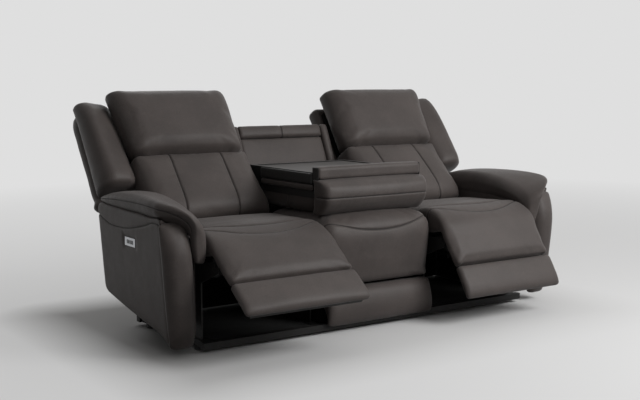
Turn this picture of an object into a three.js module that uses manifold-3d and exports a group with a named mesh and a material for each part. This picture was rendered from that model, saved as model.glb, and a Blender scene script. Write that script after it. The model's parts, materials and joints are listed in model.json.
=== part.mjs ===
// Three-seat power recliner sofa whose middle backrest folds down into a console table.
// Millimetres, +Z up, +X to the right of someone who looks at the front, which faces -Y.
// The origin is on the floor, under the centre foot, midway between the arms.
// Everything stands as photographed: console down, both end seats partly reclined.
import * as THREE from 'three';
import { mergeVertices } from 'three/addons/utils/BufferGeometryUtils.js';
import Module from 'manifold-3d';

const wasm = await Module();
wasm.setup();

// Driving sizes of the whole sofa
const GAP = 0.3;
const CUT = 2;
const ARM_INNER = 881;
const ARM_WIDTH = 177;
const ARM_OUTER = ARM_INNER + ARM_WIDTH;
const MIDDLE_HALF = 290;
const SEAT_CLEARANCE = 6;
const FLOOR_GAP = 36;

// Floor frame of rails, with a foot under every joint
const foot = { radius: 22, height: 16, inset: 62 };
const rail = { height: 28, depth: 30, width: 36, frontY: -300, rearY: 330 };
const supply = {
  width: 160, depth: 62, height: 44, inletWidth: 30, inletHeight: 22, inletDepth: 12, setBack: 24,
};

// Arms: a box, a bolster on its front and a pad that runs over the top and down the inner front
const arm = {
  frontY: -280, rearY: 322, top: 552, cornerRadius: 62, bottomRise: 118, topRadius: 40, shoulder: 92,
  taper: 8,
};
const bolster = { bulge: 66, frontFoot: 24, top: 548, chin: 118, knee: 288, rounding: 34 };
const armPad = { thickness: 70, rearY: 338, noseY: -345, tailZ: 375, tailThickness: 26, tailWidth: 50 };
// Stations along the arm pad: place in Y, place in Z, thickness and width, each as a share
const padTopShares = [
  [0, 0.4, 0.5], [0.02, 0.62, 0.72], [0.13, 0.8, 0.9], [0.32, 0.94, 1], [0.58, 1, 1], [0.8, 1, 1],
];
const padNoseShares = [
  [0.93, 0.06, 0.94, 1], [1, 0.21, 0.86, 0.75], [1.022, 0.42, 0.77, 0.45], [1.015, 0.7, 0.65, 0.36],
];
const plate = { length: 98, height: 35, thickness: 4, y: 9, z: 430 };
const button = { length: 24, height: 16, thickness: 7, pitch: 32, clearance: 0.6, stand: 1.5 };

// Middle seat: boards, a seat cushion, a front pad and a kick pad
const box = { board: 18, top: 380, frontY: -236, rearY: 370, inset: 6 };
const middleSeat = { rearY: 176, frontY: -312, top: 492, crown: 9, rounding: 34, nose: 62 };
const frontPad = { depth: 60, bottom: 194, crown: 12, rounding: 26 };
const kickPad = { bottom: 30, lean: 24, rounding: 24 };

// Middle back, which stays up behind the console
const middleBack = {
  lean: 23.8, footY: 430, footZ: 681, drop: 66, rise: 204, cheek: 44, sunk: 12, board: 18, header: 64,
  cheekDepth: 40, cover: 44, coverFoot: 60, rounding: 12,
};

// Console: the middle backrest, folded down on two hinge pins
const consoleHinge = { y: 285, z: 600, pin: 8, clearance: 0.5, plate: 4, bracket: 5, boss: 24, foot: 90 };
const tray = { inset: 14, top: 690, thickness: 58, rearY: 347, frontY: -188, border: 22, sunk: 4 };
const well = { radius: 42, depth: 46, x: 76, y: 0, liner: 1.6, rim: 5, lift: 1.5, fit: 0.4 };
const lip = { depth: 50, top: 716, bottom: 661, rounding: 10, crown: 2 };
const roll = { frontY: -300, bottom: 506, rounding: 30, crown: 6 };
const consoleCushion = { inset: 14, bottom: 512, crown: 6, rounding: 30 };

// Recliners: side plates that glide on the floor rails, a footrest hinged at their front and a
// back hinged at their rear
const sidePlate = { thickness: 6, inset: 22, railDepth: 64, frontY: -230, rearY: 300, boss: 26, neck: 60 };
const seatDeck = { thickness: 14, top: 384, frontY: -232, rearY: 236 };
const seatCushion = {
  rearY: 92, rearTop: 484, crest: 492, crestY: -190, noseY: -300, noseTop: 478, crown: 8, rounding: 30,
};
const footHinge = { y: -353, z: 363, pin: 9, clearance: 0.5, reach: 6 };
const footrest = {
  surface: 70, crown: 8, end: 308, channel: 150, channelGap: 3, roll: 98, rollClearance: 2, back: 30,
  board: 14, boardStart: 32, ear: 6, earRadius: 22, rounding: 20, leftOpen: 54, rightOpen: 33, crank: 70,
  crankLean: 44, crankWidth: 14, endTaper: 8,
};
const actuator = {
  motorRadius: 34, motorLength: 120, screwRadius: 9, screwLength: 330, z: 246, rearY: 250, hanger: 16,
};
const nut = {
  size: 44, length: 36, clearance: 0.5, closedY: -60, rod: 10, reach: 245, fork: 12, forkTop: 284,
};

// Back of a recliner, sized from its hinge: along its height, and forward from the board's middle
const backHinge = { y: 292.7, z: 415.3, pin: 9, clearance: 0.5, lean: 33, reach: 6 };
const backBoard = { low: -20, high: 590, thickness: 20, side: 2 };
const shell = {
  low: 62, outerLow: 120, high: 606, rear: -93, rounding: 34, inset: 6, crown: 6, turn: 0.1,
};
const lumbar = {
  low: -28, hingeGap: 54, high: 318, front: 150, belly: 194, bellyLow: 30, bellyHigh: 110, crown: 12,
  rounding: 40,
};
const wing = {
  low: 186, high: 652, front: 182, frontTop: 140, innerFront: 108, innerTop: 24, overlap: 7, width: 168,
  crown: 8, rounding: 34,
};
const headrest = { low: 322, high: 664, front: 158, crown: 12, rounding: 44, inset: 14 };

const LEATHER = { color: 0x4b4745, roughness: 0.5, metalness: 0 };
const STEEL = { color: 0x2b2c2e, roughness: 0.45, metalness: 0.8 };
const WOOD = { color: 0xb08d5f, roughness: 0.8, metalness: 0 };
const PLASTIC = { color: 0x1d1d1f, roughness: 0.4, metalness: 0 };
const TRAY = { color: 0x8d8987, roughness: 0.35, metalness: 0 };
const SILVER = { color: 0xc9cbce, roughness: 0.3, metalness: 0.9 };

const sofa = new THREE.Group();
const radians = THREE.MathUtils.degToRad;
const vector = (x, y, z) => new THREE.Vector3(x, y, z);

// Steps along the arc where a seat meets its footrest
const arcSteps = 5;

// Share of an edge that the round at either end may take
const roundShare = 0.48;

// Shape tools

function add(parent, name, geometry, look) {
  const mesh = new THREE.Mesh(geometry, new THREE.MeshStandardMaterial(look));
  mesh.name = name;
  parent.add(mesh);
  return mesh;
}

function closed(geometry) {
  const bare = geometry.index ? geometry.toNonIndexed() : geometry.clone();
  for (const key of Object.keys(bare.attributes)) {
    if (key !== 'position') bare.deleteAttribute(key);
  }
  return mergeVertices(bare, 1e-4);
}

function toManifold(geometry) {
  const merged = closed(geometry);
  return new wasm.Manifold(new wasm.Mesh({
    numProp: 3,
    vertProperties: new Float32Array(merged.attributes.position.array),
    triVerts: new Uint32Array(merged.index.array),
  }));
}

function fromManifold(solid) {
  const mesh = solid.getMesh();
  const geometry = new THREE.BufferGeometry();
  geometry.setAttribute('position', new THREE.BufferAttribute(mesh.vertProperties, 3));
  geometry.setIndex(new THREE.BufferAttribute(mesh.triVerts, 1));
  return geometry;
}

const join = (...pieces) => fromManifold(pieces.map(toManifold).reduce((a, b) => a.add(b)));
const cut = (whole, ...tools) => fromManifold(
  tools.map(toManifold).reduce((a, b) => a.subtract(b), toManifold(whole)),
);

// A block from its low and high corners
function block(low, high) {
  const size = high.clone().sub(low);
  const middle = low.clone().add(high).multiplyScalar(0.5);
  return new THREE.BoxGeometry(size.x, size.y, size.z).translate(middle.x, middle.y, middle.z);
}

// A round bar along X between two places
function barX(radius, fromX, toX, y, z, sides = 24) {
  const bar = new THREE.CylinderGeometry(radius, radius, Math.abs(toX - fromX), sides);
  return bar.rotateZ(Math.PI / 2).translate((fromX + toX) / 2, y, z);
}

// A plate whose outline is given in Y and Z, extruded along X
function plateX(outline, fromX, toX, holes = []) {
  const shape = new THREE.Shape(THREE.ShapeUtils.isClockWise(outline) ? [...outline].reverse() : outline);
  for (const hole of holes) {
    shape.holes.push(new THREE.Path().absarc(hole.y, hole.z, hole.radius, 0, 2 * Math.PI, true));
  }
  const solid = new THREE.ExtrudeGeometry(shape, {
    depth: toX - fromX, bevelEnabled: false, curveSegments: 12,
  });
  return solid.rotateX(Math.PI / 2).rotateZ(Math.PI / 2).translate(fromX, 0, 0);
}

// Points of an outline with each corner turned into a round of its own radius
function rounded(corners, steps = 4) {
  const points = [];
  corners.forEach(([y, z, radius], i) => {
    const here = new THREE.Vector2(y, z);
    if (!radius) {
      points.push(here);
      return;
    }
    const before = new THREE.Vector2(...corners.at(i - 1).slice(0, 2));
    const after = new THREE.Vector2(...corners[(i + 1) % corners.length].slice(0, 2));
    const reach = Math.min(radius, roundShare * before.distanceTo(here), roundShare * after.distanceTo(here));
    const start = here.clone().add(before.sub(here).setLength(reach));
    const end = here.clone().add(after.sub(here).setLength(reach));
    points.push(...new THREE.QuadraticBezierCurve(start, here, end).getPoints(steps));
  });
  return points;
}

// A closed solid through rings of points that all have the same number of points
function ringSolid(rings, caps) {
  const count = rings[0].length;
  const positions = rings.flat().flatMap((p) => [p.x, p.y, p.z]);
  const faces = [];
  for (let r = 0; r < rings.length - 1; r += 1) {
    for (let i = 0; i < count; i += 1) {
      const a = r * count + i;
      const b = r * count + (i + 1) % count;
      faces.push(a, b, b + count, a, b + count, a + count);
    }
  }
  const last = (rings.length - 1) * count;
  for (const [a, b, c] of caps) faces.push(c, b, a, last + a, last + b, last + c);
  const geometry = new THREE.BufferGeometry();
  geometry.setAttribute('position', new THREE.Float32BufferAttribute(positions, 3));
  geometry.setIndex(faces);
  return outward(geometry);
}

// The same solid with its faces turned to point out
function outward(geometry) {
  const p = geometry.attributes.position;
  const index = geometry.index.array;
  let volume = 0;
  for (let i = 0; i < index.length; i += 3) {
    const [a, b, c] = [0, 1, 2].map((k) => new THREE.Vector3().fromBufferAttribute(p, index[i + k]));
    volume += a.dot(b.cross(c));
  }
  if (volume < 0) {
    for (let i = 0; i < index.length; i += 3) [index[i], index[i + 1]] = [index[i + 1], index[i]];
  }
  return geometry;
}

// A cushion along X: its Y-Z outline swells by the crown at mid-width and draws in towards
// both ends, where the sides round over
const widthShares = [0, 0.03, 0.09, 0.2, 0.35, 0.5, 0.65, 0.8, 0.91, 0.97, 1];
// Share of the end rounding that draws the outline in: less than any corner's own radius
const drawShare = 0.4;
function cushion(outlineAt, fromX, toX, { crown, rounding, flat = () => false, shares = widthShares }) {
  const width = toX - fromX;
  const rings = shares.map((share) => {
    const outline = outlineAt(share);
    const turn = Math.sign(THREE.ShapeUtils.area(outline));
    const edge = Math.min(share, 1 - share) * width;
    const draw = edge < rounding ? rounding * (1 - Math.sqrt(1 - (1 - edge / rounding) ** 2)) : 0;
    const swell = crown * (Math.sin(Math.PI * share) ** 0.7 - 1);
    return outline.map((point, i) => {
      const along = outline[(i + 1) % outline.length].clone().sub(outline.at(i - 1)).normalize();
      const normal = new THREE.Vector2(along.y * turn, -along.x * turn);
      const move = (flat(normal, point) ? 0 : swell) - draw * drawShare;
      return vector(fromX + share * width, point.x + normal.x * move, point.y + normal.y * move);
    });
  });
  const outline = outlineAt(0);
  const caps = THREE.ShapeUtils.triangulateShape([...outline], []);
  const { isClockWise } = THREE.ShapeUtils;
  const reversed = isClockWise(outline) !== isClockWise(caps[0].map((i) => outline[i]));
  return ringSolid(rings, reversed ? caps.map(([a, b, c]) => [c, b, a]) : caps);
}

// A padded strip swept along a path in Y and Z, with its own width and place in X at each station
function sweptPad(stations, sides = 16) {
  const rings = stations.map((station, i) => {
    const before = stations[Math.max(i - 1, 0)];
    const after = stations[Math.min(i + 1, stations.length - 1)];
    const along = new THREE.Vector2(after.y - before.y, after.z - before.z).normalize();
    const up = new THREE.Vector2(along.y, -along.x);
    return Array.from({ length: sides }, (_, k) => {
      const angle = (k / sides) * 2 * Math.PI;
      const across = Math.sign(Math.cos(angle)) * Math.abs(Math.cos(angle)) ** 0.6;
      const out = Math.sign(Math.sin(angle)) * Math.abs(Math.sin(angle)) ** 0.8;
      return vector(
        station.x + across * station.width / 2,
        station.y + up.x * out * station.thickness / 2,
        station.z + up.y * out * station.thickness / 2,
      );
    });
  });
  const fan = Array.from({ length: sides - 2 }, (_, k) => [0, k + 1, k + 2]);
  return ringSolid(rings, fan);
}

const mirrored = (geometry, side) => {
  if (side > 0) return geometry;
  return outward(closed(geometry.clone().scale(-1, 1, 1)));
};

// Floor frame

const railTop = foot.height + rail.height;
const outerRailX = ARM_INNER - SEAT_CLEARANCE - sidePlate.inset - sidePlate.thickness / 2;
const innerRailX = MIDDLE_HALF + SEAT_CLEARANCE + sidePlate.inset + sidePlate.thickness / 2;
const railRows = [-outerRailX, -innerRailX, 0, innerRailX, outerRailX];

const frontInnerY = rail.frontY + rail.depth;
const rearInnerY = rail.rearY - rail.depth;
const frameHalf = ARM_INNER - GAP;
const crossRails = [rail.frontY, rearInnerY].map((y) => block(
  vector(-frameHalf, y, foot.height), vector(frameHalf, y + rail.depth, railTop),
));
const longRails = railRows.map((x) => block(
  vector(x - rail.width / 2, frontInnerY - CUT, foot.height),
  vector(x + rail.width / 2, rearInnerY + CUT, railTop),
));
const footPlaces = railRows.flatMap((x) => [[x, frontInnerY + foot.inset], [x, rearInnerY - foot.inset]]);
const feet = footPlaces.concat([[0, 0]]).map(([x, y]) => new THREE.CylinderGeometry(
  foot.radius, foot.radius, foot.height + CUT, 16,
).rotateX(Math.PI / 2).translate(x, y, (foot.height + CUT) / 2));
add(sofa, 'floor_frame', join(...crossRails, ...longRails, ...feet), STEEL);

const supplyY = rearInnerY - GAP;
const supplyX = (innerRailX + outerRailX) / 2;
const supplyLeft = supplyX - supply.width / 2;
const inletY = supplyY - supply.setBack;
const inletZ = foot.height + supply.inletDepth;
add(sofa, 'power_supply', cut(
  block(
    vector(supplyLeft, supplyY - supply.depth, foot.height),
    vector(supplyLeft + supply.width, supplyY, foot.height + supply.height),
  ),
  block(
    vector(supplyLeft - CUT, inletY - supply.inletWidth, inletZ),
    vector(supplyLeft + supply.inletDepth, inletY, inletZ + supply.inletHeight),
  ),
), PLASTIC);

// Arms, switch plates and buttons

const armWidth = ARM_OUTER - ARM_INNER;
const armFoot = FLOOR_GAP + GAP;

function armBox() {
  const outline = rounded([
    [arm.frontY, armFoot], [arm.rearY, armFoot + arm.bottomRise, arm.cornerRadius],
    [arm.rearY, arm.top, arm.topRadius], [arm.frontY, arm.top, arm.shoulder],
  ]);
  const whole = plateX(outline, ARM_INNER, ARM_OUTER - arm.taper);
  const floor = ARM_OUTER - arm.taper - plate.thickness - button.thickness;
  const half = { y: plate.length / 2 + GAP, z: plate.height / 2 + GAP };
  const recess = block(
    vector(floor, plate.y - half.y, plate.z - half.z), vector(ARM_OUTER, plate.y + half.y, plate.z + half.z),
  );
  return cut(whole, recess);
}

function armBolsterShape() {
  const front = arm.frontY - bolster.bulge;
  const outline = rounded([
    [arm.frontY - GAP, armFoot], [arm.frontY - GAP, bolster.top],
    [arm.frontY - bolster.rounding, bolster.top, bolster.rounding / 2],
    [front, bolster.top - bolster.chin, bolster.bulge], [front, bolster.top - bolster.knee, bolster.bulge],
    [arm.frontY - bolster.frontFoot, armFoot, bolster.frontFoot / 2],
  ]);
  return cushion(() => outline, ARM_INNER, ARM_OUTER, {
    crown: 0, rounding: bolster.rounding, flat: (normal) => normal.x > 0.7,
  });
}

const padUnderside = arm.top + GAP;

function armPadShape(grow) {
  const run = arm.frontY - armPad.rearY + (armPad.noseY - arm.frontY);
  const fall = padUnderside + armPad.thickness / 2 - armPad.tailZ;
  const top = padTopShares.map(([along, high, full]) => ({
    x: ARM_INNER + armWidth / 2, width: armWidth * full + grow, thickness: armPad.thickness * high + grow,
    y: armPad.rearY + run * along, z: padUnderside + (armPad.thickness * high) / 2,
  }));
  const nose = padNoseShares.map(([along, drop, thick, wide]) => ({
    x: ARM_INNER + (armWidth * wide) / 2, width: armWidth * wide + grow,
    thickness: armPad.thickness * thick + grow,
    y: armPad.rearY + run * along, z: armPad.tailZ + fall * (1 - drop),
  }));
  const tail = {
    x: ARM_INNER + armPad.tailWidth / 2, width: armPad.tailWidth + grow,
    thickness: armPad.tailThickness + grow,
    y: armPad.rearY + run, z: armPad.tailZ,
  };
  return sweptPad([...top, ...nose, tail]);
}

const plateFace = ARM_OUTER - arm.taper;
const buttonPlaces = [-button.pitch / 2, button.pitch / 2];

function switchPlate() {
  const low = vector(plateFace - plate.thickness, plate.y - plate.length / 2, plate.z - plate.height / 2);
  const high = vector(plateFace, plate.y + plate.length / 2, plate.z + plate.height / 2);
  return cut(block(low, high), ...buttonPlaces.map((place) => block(
    vector(low.x - CUT, plate.y + place - button.length / 2, plate.z - button.height / 2),
    vector(high.x + CUT, plate.y + place + button.length / 2, plate.z + button.height / 2),
  )));
}

function buttonCap(place) {
  const half = { y: button.length / 2 - button.clearance, z: button.height / 2 - button.clearance };
  return block(
    vector(plateFace + button.stand - button.thickness, plate.y + place - half.y, plate.z - half.z),
    vector(plateFace + button.stand, plate.y + place + half.y, plate.z + half.z),
  );
}

for (const [word, side] of [['left', -1], ['right', 1]]) {
  add(sofa, `${word}_arm_box`, mirrored(armBox(), side), LEATHER);
  add(sofa, `${word}_arm_bolster`, mirrored(cut(armBolsterShape(), armPadShape(2 * GAP)), side), LEATHER);
  add(sofa, `${word}_arm_pad`, mirrored(armPadShape(0), side), LEATHER);
  add(sofa, `${word}_switch_plate`, mirrored(switchPlate(), side), SILVER);
  add(sofa, `${word}_open_button`, mirrored(buttonCap(buttonPlaces[0]), side), PLASTIC);
  add(sofa, `${word}_close_button`, mirrored(buttonCap(buttonPlaces[1]), side), PLASTIC);
}

// Middle seat

const boxSide = MIDDLE_HALF - box.inset;
const boxFoot = railTop + GAP;
const frontBoardY = box.frontY - box.board;
const middleDeckTop = box.top + box.board;
add(sofa, 'middle_seat_box', join(
  block(vector(-boxSide, frontBoardY, boxFoot), vector(box.board - boxSide, box.rearY, middleDeckTop)),
  block(vector(boxSide - box.board, frontBoardY, boxFoot), vector(boxSide, box.rearY, middleDeckTop)),
  block(vector(-boxSide, frontBoardY, boxFoot), vector(boxSide, box.frontY, middleDeckTop)),
  block(vector(-boxSide, frontBoardY, box.top), vector(boxSide, box.rearY, middleDeckTop)),
), WOOD);

const padTop = box.top - GAP;
const middleOutline = rounded([
  [middleSeat.rearY, middleDeckTop + GAP], [middleSeat.rearY, middleSeat.top],
  [middleSeat.frontY, middleSeat.top, middleSeat.nose], [middleSeat.frontY, padTop + GAP],
  [frontBoardY - GAP, padTop + GAP], [frontBoardY - GAP, middleDeckTop + GAP],
]);
add(sofa, 'middle_seat_cushion', cushion(() => middleOutline, -MIDDLE_HALF, MIDDLE_HALF, {
  crown: middleSeat.crown, rounding: middleSeat.rounding, flat: (normal) => normal.y < -0.5 || normal.x > 0.5,
}), LEATHER);

const padRear = frontBoardY - GAP;
const frontPadOutline = rounded([
  [padRear, frontPad.bottom], [padRear, padTop], [middleSeat.frontY, padTop],
  [padRear - frontPad.depth / 2, frontPad.bottom, frontPad.depth / 4],
]);
add(sofa, 'middle_front_pad', cushion(() => frontPadOutline, -MIDDLE_HALF, MIDDLE_HALF, {
  crown: frontPad.crown, rounding: frontPad.rounding, flat: (normal) => normal.x > -0.5,
}), LEATHER);
const kickTop = frontPad.bottom - CUT;
const kickOutline = rounded([
  [padRear, railTop + GAP], [padRear, kickTop], [padRear - frontPad.depth / 2, kickTop, frontPad.depth / 4],
  [padRear - frontPad.depth / 2 - kickPad.lean, (kickTop + kickPad.bottom) / 2, kickPad.lean],
  [rail.frontY - kickPad.lean, kickPad.bottom, kickPad.lean / 2], [rail.frontY - CUT, kickPad.bottom],
  [rail.frontY - CUT, railTop + GAP],
]);
add(sofa, 'middle_kick_pad', cushion(() => kickOutline, -MIDDLE_HALF, MIDDLE_HALF, {
  crown: 0, rounding: kickPad.rounding, flat: (normal) => normal.x > -0.5,
}), LEATHER);

// Middle back. Its own frame has the panel's face at y = 0 and its height along z, and the
// group leans that frame back about the panel's foot

const middleGroup = new THREE.Group();
middleGroup.position.set(0, middleBack.footY, middleBack.footZ);
middleGroup.rotation.x = -radians(middleBack.lean);
sofa.add(middleGroup);

const panelHalf = MIDDLE_HALF - box.inset - middleBack.cheek;
const cheekHalf = MIDDLE_HALF - box.inset;
const boardFront = middleBack.cheekDepth + GAP;
const panelFront = middleBack.sunk;
const headerLow = middleBack.rise - middleBack.header;

const cheekOutline = rounded([
  [0, -middleBack.drop], [0, middleBack.rise, middleBack.rounding],
  [middleBack.cheekDepth, middleBack.rise, middleBack.rounding], [middleBack.cheekDepth, -middleBack.drop],
]);
add(middleGroup, 'left_recess_cheek', plateX(cheekOutline, -cheekHalf, -panelHalf - GAP), LEATHER);
add(middleGroup, 'right_recess_cheek', plateX(cheekOutline, panelHalf + GAP, cheekHalf), LEATHER);
const panelOutline = rounded([
  [middleBack.cheekDepth, -middleBack.drop], [panelFront, -middleBack.drop], [panelFront, headerLow - CUT],
  [panelFront + CUT, headerLow - CUT], [panelFront + CUT, headerLow], [panelFront - CUT, headerLow],
  [panelFront - CUT, middleBack.rise, middleBack.rounding],
  [middleBack.cheekDepth, middleBack.rise, middleBack.rounding],
]);
add(middleGroup, 'recess_panel', plateX(panelOutline, -panelHalf, panelHalf), LEATHER);

// A place in the leaned frame from its place on the sofa, and the height at which a plane
// behind the panel reaches a given place on the sofa
const lean = { sin: Math.sin(radians(middleBack.lean)), cos: Math.cos(radians(middleBack.lean)) };
const leaned = (y, z) => {
  const [dy, dz] = [y - middleBack.footY, z - middleBack.footZ];
  return [dy * lean.cos - dz * lean.sin, dy * lean.sin + dz * lean.cos];
};
const heightAtZ = (depth, z) => (z - middleBack.footZ + depth * lean.sin) / lean.cos;
const heightAtY = (depth, y) => (y - middleBack.footY - depth * lean.cos) / lean.sin;

const boardRearFace = boardFront + middleBack.board;
const boardTop = middleBack.rise - middleBack.rounding;
add(middleGroup, 'middle_back_board', block(
  vector(CUT - cheekHalf, boardFront, heightAtZ(boardRearFace, middleDeckTop + GAP)),
  vector(cheekHalf - CUT, boardRearFace, boardTop),
), WOOD);
const coverFront = boardRearFace + GAP;
const coverRear = coverFront + middleBack.cover;
const skirtFront = box.rearY + GAP;
const skirtRear = skirtFront + middleBack.cover;
const coverOutline = rounded([
  leaned(skirtFront, middleBack.coverFoot), leaned(skirtFront, middleDeckTop),
  [coverFront, middleBack.rise], [coverRear, middleBack.rise, middleBack.rounding],
  [coverRear, heightAtY(coverRear, skirtRear)], leaned(skirtRear, middleBack.coverFoot),
]);
add(middleGroup, 'middle_back_cover', cushion(() => coverOutline, -cheekHalf, cheekHalf, {
  crown: 0, rounding: middleBack.rounding, flat: (normal) => normal.x < 0.5,
}), LEATHER);

// Console hinge brackets, which stand on the middle seat's deck beside the console

const trayHalf = MIDDLE_HALF - tray.inset;
const bracketInner = trayHalf + CUT / 2;
const earOutline = rounded([
  [consoleHinge.y - consoleHinge.foot / 2, middleDeckTop + GAP],
  [consoleHinge.y - consoleHinge.boss, consoleHinge.z],
  [consoleHinge.y - consoleHinge.boss, consoleHinge.z + consoleHinge.boss, consoleHinge.boss / 2],
  [consoleHinge.y + consoleHinge.boss, consoleHinge.z + consoleHinge.boss, consoleHinge.boss / 2],
  [consoleHinge.y + consoleHinge.boss, consoleHinge.z],
  [Math.min(consoleHinge.y + consoleHinge.foot / 2, box.rearY), middleDeckTop + GAP],
]);
const boreRadius = consoleHinge.pin + consoleHinge.clearance;
const consoleBore = [{ y: consoleHinge.y, z: consoleHinge.z, radius: boreRadius }];
const bracketAt = (from) => plateX(earOutline, from, from + consoleHinge.bracket, consoleBore);
add(sofa, 'left_console_bracket', bracketAt(-bracketInner - consoleHinge.bracket), STEEL);
add(sofa, 'right_console_bracket', bracketAt(bracketInner), STEEL);

// Console

const trayBottom = tray.top - tray.thickness;
const wellAt = (side, radius, low, high) => new THREE.CylinderGeometry(radius, radius, high - low, 32)
  .rotateX(Math.PI / 2).translate(side * well.x, well.y, (low + high) / 2);
const traySunk = tray.top - tray.sunk;
add(sofa, 'console_tray', cut(
  block(vector(-trayHalf, tray.frontY, trayBottom), vector(trayHalf, tray.rearY, tray.top)),
  block(
    vector(tray.border - trayHalf, tray.frontY + tray.border, traySunk),
    vector(trayHalf - tray.border, tray.rearY - tray.border, tray.top + CUT),
  ),
  ...[-1, 1].map((side) => wellAt(side, well.radius, traySunk - well.depth, tray.top + CUT)),
), TRAY);

const linerOuter = well.radius - well.fit;
const linerLow = traySunk - well.depth + GAP;
const linerTop = traySunk + well.lift;
const rimOuter = well.radius + well.rim;
const linerProfile = [
  [0, linerLow], [linerOuter, linerLow], [linerOuter, traySunk + GAP], [rimOuter, traySunk + GAP],
  [rimOuter, linerTop], [linerOuter - well.liner, linerTop], [linerOuter - well.liner, linerLow + well.liner],
  [0, linerLow + well.liner],
].map(([r, z]) => new THREE.Vector2(r, z));
for (const [word, side] of [['left', -1], ['right', 1]]) {
  const liner = new THREE.LatheGeometry(linerProfile, 32).rotateX(Math.PI / 2)
    .translate(side * well.x, well.y, 0);
  add(sofa, `${word}_cup_liner`, outward(closed(liner)), SILVER);
}

const frameTop = trayBottom - GAP;
const consoleHalf = trayHalf - consoleCushion.inset;
const channelHalf = consoleHalf + GAP;
const armLow = consoleHinge.z - consoleHinge.boss;
add(sofa, 'console_frame', join(...[-1, 1].flatMap((side) => {
  const inner = side * channelHalf;
  const outer = side * (channelHalf + consoleHinge.plate);
  const pinEnd = side * (bracketInner + consoleHinge.bracket + CUT);
  return [
    block(
      vector(Math.min(inner, outer), tray.frontY, armLow),
      vector(Math.max(inner, outer), tray.rearY - CUT, frameTop),
    ),
    barX(consoleHinge.pin, side * (channelHalf + CUT), pinEnd, consoleHinge.y, consoleHinge.z),
  ];
}).concat(block(
  vector(-channelHalf - CUT, tray.frontY, frameTop - consoleHinge.plate),
  vector(channelHalf + CUT, tray.rearY - CUT, frameTop),
))), STEEL);

const lipRear = tray.frontY - GAP;
const lipOutline = rounded([
  [lipRear, lip.bottom], [lipRear, lip.top, lip.rounding], [lipRear - lip.depth, lip.top, lip.rounding],
  [lipRear - lip.depth, lip.bottom, lip.rounding],
]);
add(sofa, 'console_lip', cushion(() => lipOutline, -trayHalf, trayHalf, {
  crown: lip.crown, rounding: lip.rounding, flat: (normal) => normal.x > 0.5 || normal.y < -0.5,
}), LEATHER);

const rollTop = lip.bottom - GAP;
const rollRear = tray.frontY - GAP;
const rollMiddle = (rollTop + roll.bottom) / 2;
const rollOutline = rounded([
  [rollRear, roll.bottom], [rollRear, rollTop], [lipRear - lip.depth, rollTop, roll.rounding / 2],
  [roll.frontY, rollMiddle + roll.rounding, roll.rounding],
  [roll.frontY, rollMiddle - roll.rounding / 2, roll.rounding],
  [lipRear - lip.depth / 2, roll.bottom, roll.rounding],
]);
add(sofa, 'console_roll', cushion(() => rollOutline, -trayHalf, trayHalf, {
  crown: roll.crown, rounding: roll.rounding, flat: (normal) => normal.x > 0.5,
}), LEATHER);

const cushionTop = frameTop - consoleHinge.plate - GAP;
const consoleOutline = rounded([
  [tray.frontY, cushionTop], [tray.frontY, consoleCushion.bottom],
  [tray.rearY - CUT, consoleCushion.bottom, consoleCushion.rounding],
  [tray.rearY - CUT, cushionTop],
]);
add(sofa, 'console_cushion', cushion(() => consoleOutline, -consoleHalf, consoleHalf, {
  crown: consoleCushion.crown, rounding: consoleCushion.rounding,
  flat: (normal) => normal.y > 0.5 || Math.abs(normal.x) > 0.9,
}), LEATHER);

// Recliners. Each is built for the right-hand seat and mirrored for the left one

const seatInner = MIDDLE_HALF + SEAT_CLEARANCE;
const seatOuter = ARM_INNER - SEAT_CLEARANCE;
const seatMiddle = (seatInner + seatOuter) / 2;
const wingInner = seatOuter - wing.overlap;
const wingOuter = wingInner + wing.width;
const plateInner = seatInner + sidePlate.inset;
const plateOuter = seatOuter - sidePlate.inset;
const plateFoot = railTop + GAP;
const deckLow = seatDeck.top - seatDeck.thickness;
const plateTop = deckLow - GAP;

function sidePlates() {
  const { boss } = sidePlate;
  const outline = rounded([
    [sidePlate.frontY, plateFoot], [sidePlate.rearY, plateFoot],
    [sidePlate.rearY, plateFoot + sidePlate.railDepth],
    [backHinge.y + boss, backHinge.z - boss], [backHinge.y + boss, backHinge.z + boss, boss / 2],
    [backHinge.y - boss, backHinge.z + boss, boss / 2], [backHinge.y - boss, plateTop],
    [footHinge.y + sidePlate.neck, plateTop],
    [footHinge.y - boss, footHinge.z + boss, boss], [footHinge.y - boss, footHinge.z - boss, boss],
    [sidePlate.frontY, footHinge.z - sidePlate.neck - boss],
  ]);
  const bores = [footHinge, backHinge].map((hinge) => (
    { y: hinge.y, z: hinge.z, radius: hinge.pin + hinge.clearance }
  ));
  return [plateInner, plateOuter - sidePlate.thickness].map((from) => (
    plateX(outline, from, from + sidePlate.thickness, bores)
  ));
}

const innerFace = plateInner + sidePlate.thickness;
const outerFace = plateOuter - sidePlate.thickness;
const deck = () => block(
  vector(innerFace + GAP, seatDeck.frontY, deckLow), vector(outerFace - GAP, seatDeck.rearY, seatDeck.top),
);

function seatCushionShape() {
  const low = seatDeck.top + GAP;
  const reach = footrest.roll + footrest.rollClearance;
  const start = Math.asin((low - footHinge.z) / reach);
  const end = Math.acos((seatCushion.noseY - footHinge.y) / reach);
  const arc = Array.from({ length: arcSteps + 1 }, (_, i) => {
    const angle = start + ((end - start) * i) / arcSteps;
    return [footHinge.y + reach * Math.cos(angle), footHinge.z + reach * Math.sin(angle)];
  });
  const outline = rounded([
    [seatCushion.rearY, low], ...arc,
    [seatCushion.noseY, seatCushion.noseTop, seatCushion.rounding / 3],
    [seatCushion.crestY, seatCushion.crest, seatCushion.rounding * 2],
    [seatCushion.rearY, seatCushion.rearTop, seatCushion.rounding],
  ]);
  return cushion(() => outline, seatInner, seatOuter, {
    crown: seatCushion.crown, rounding: seatCushion.rounding,
    flat: (normal, point) => normal.y < -0.5 || (normal.x < 0 && point.y < seatCushion.noseTop),
  });
}

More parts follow.
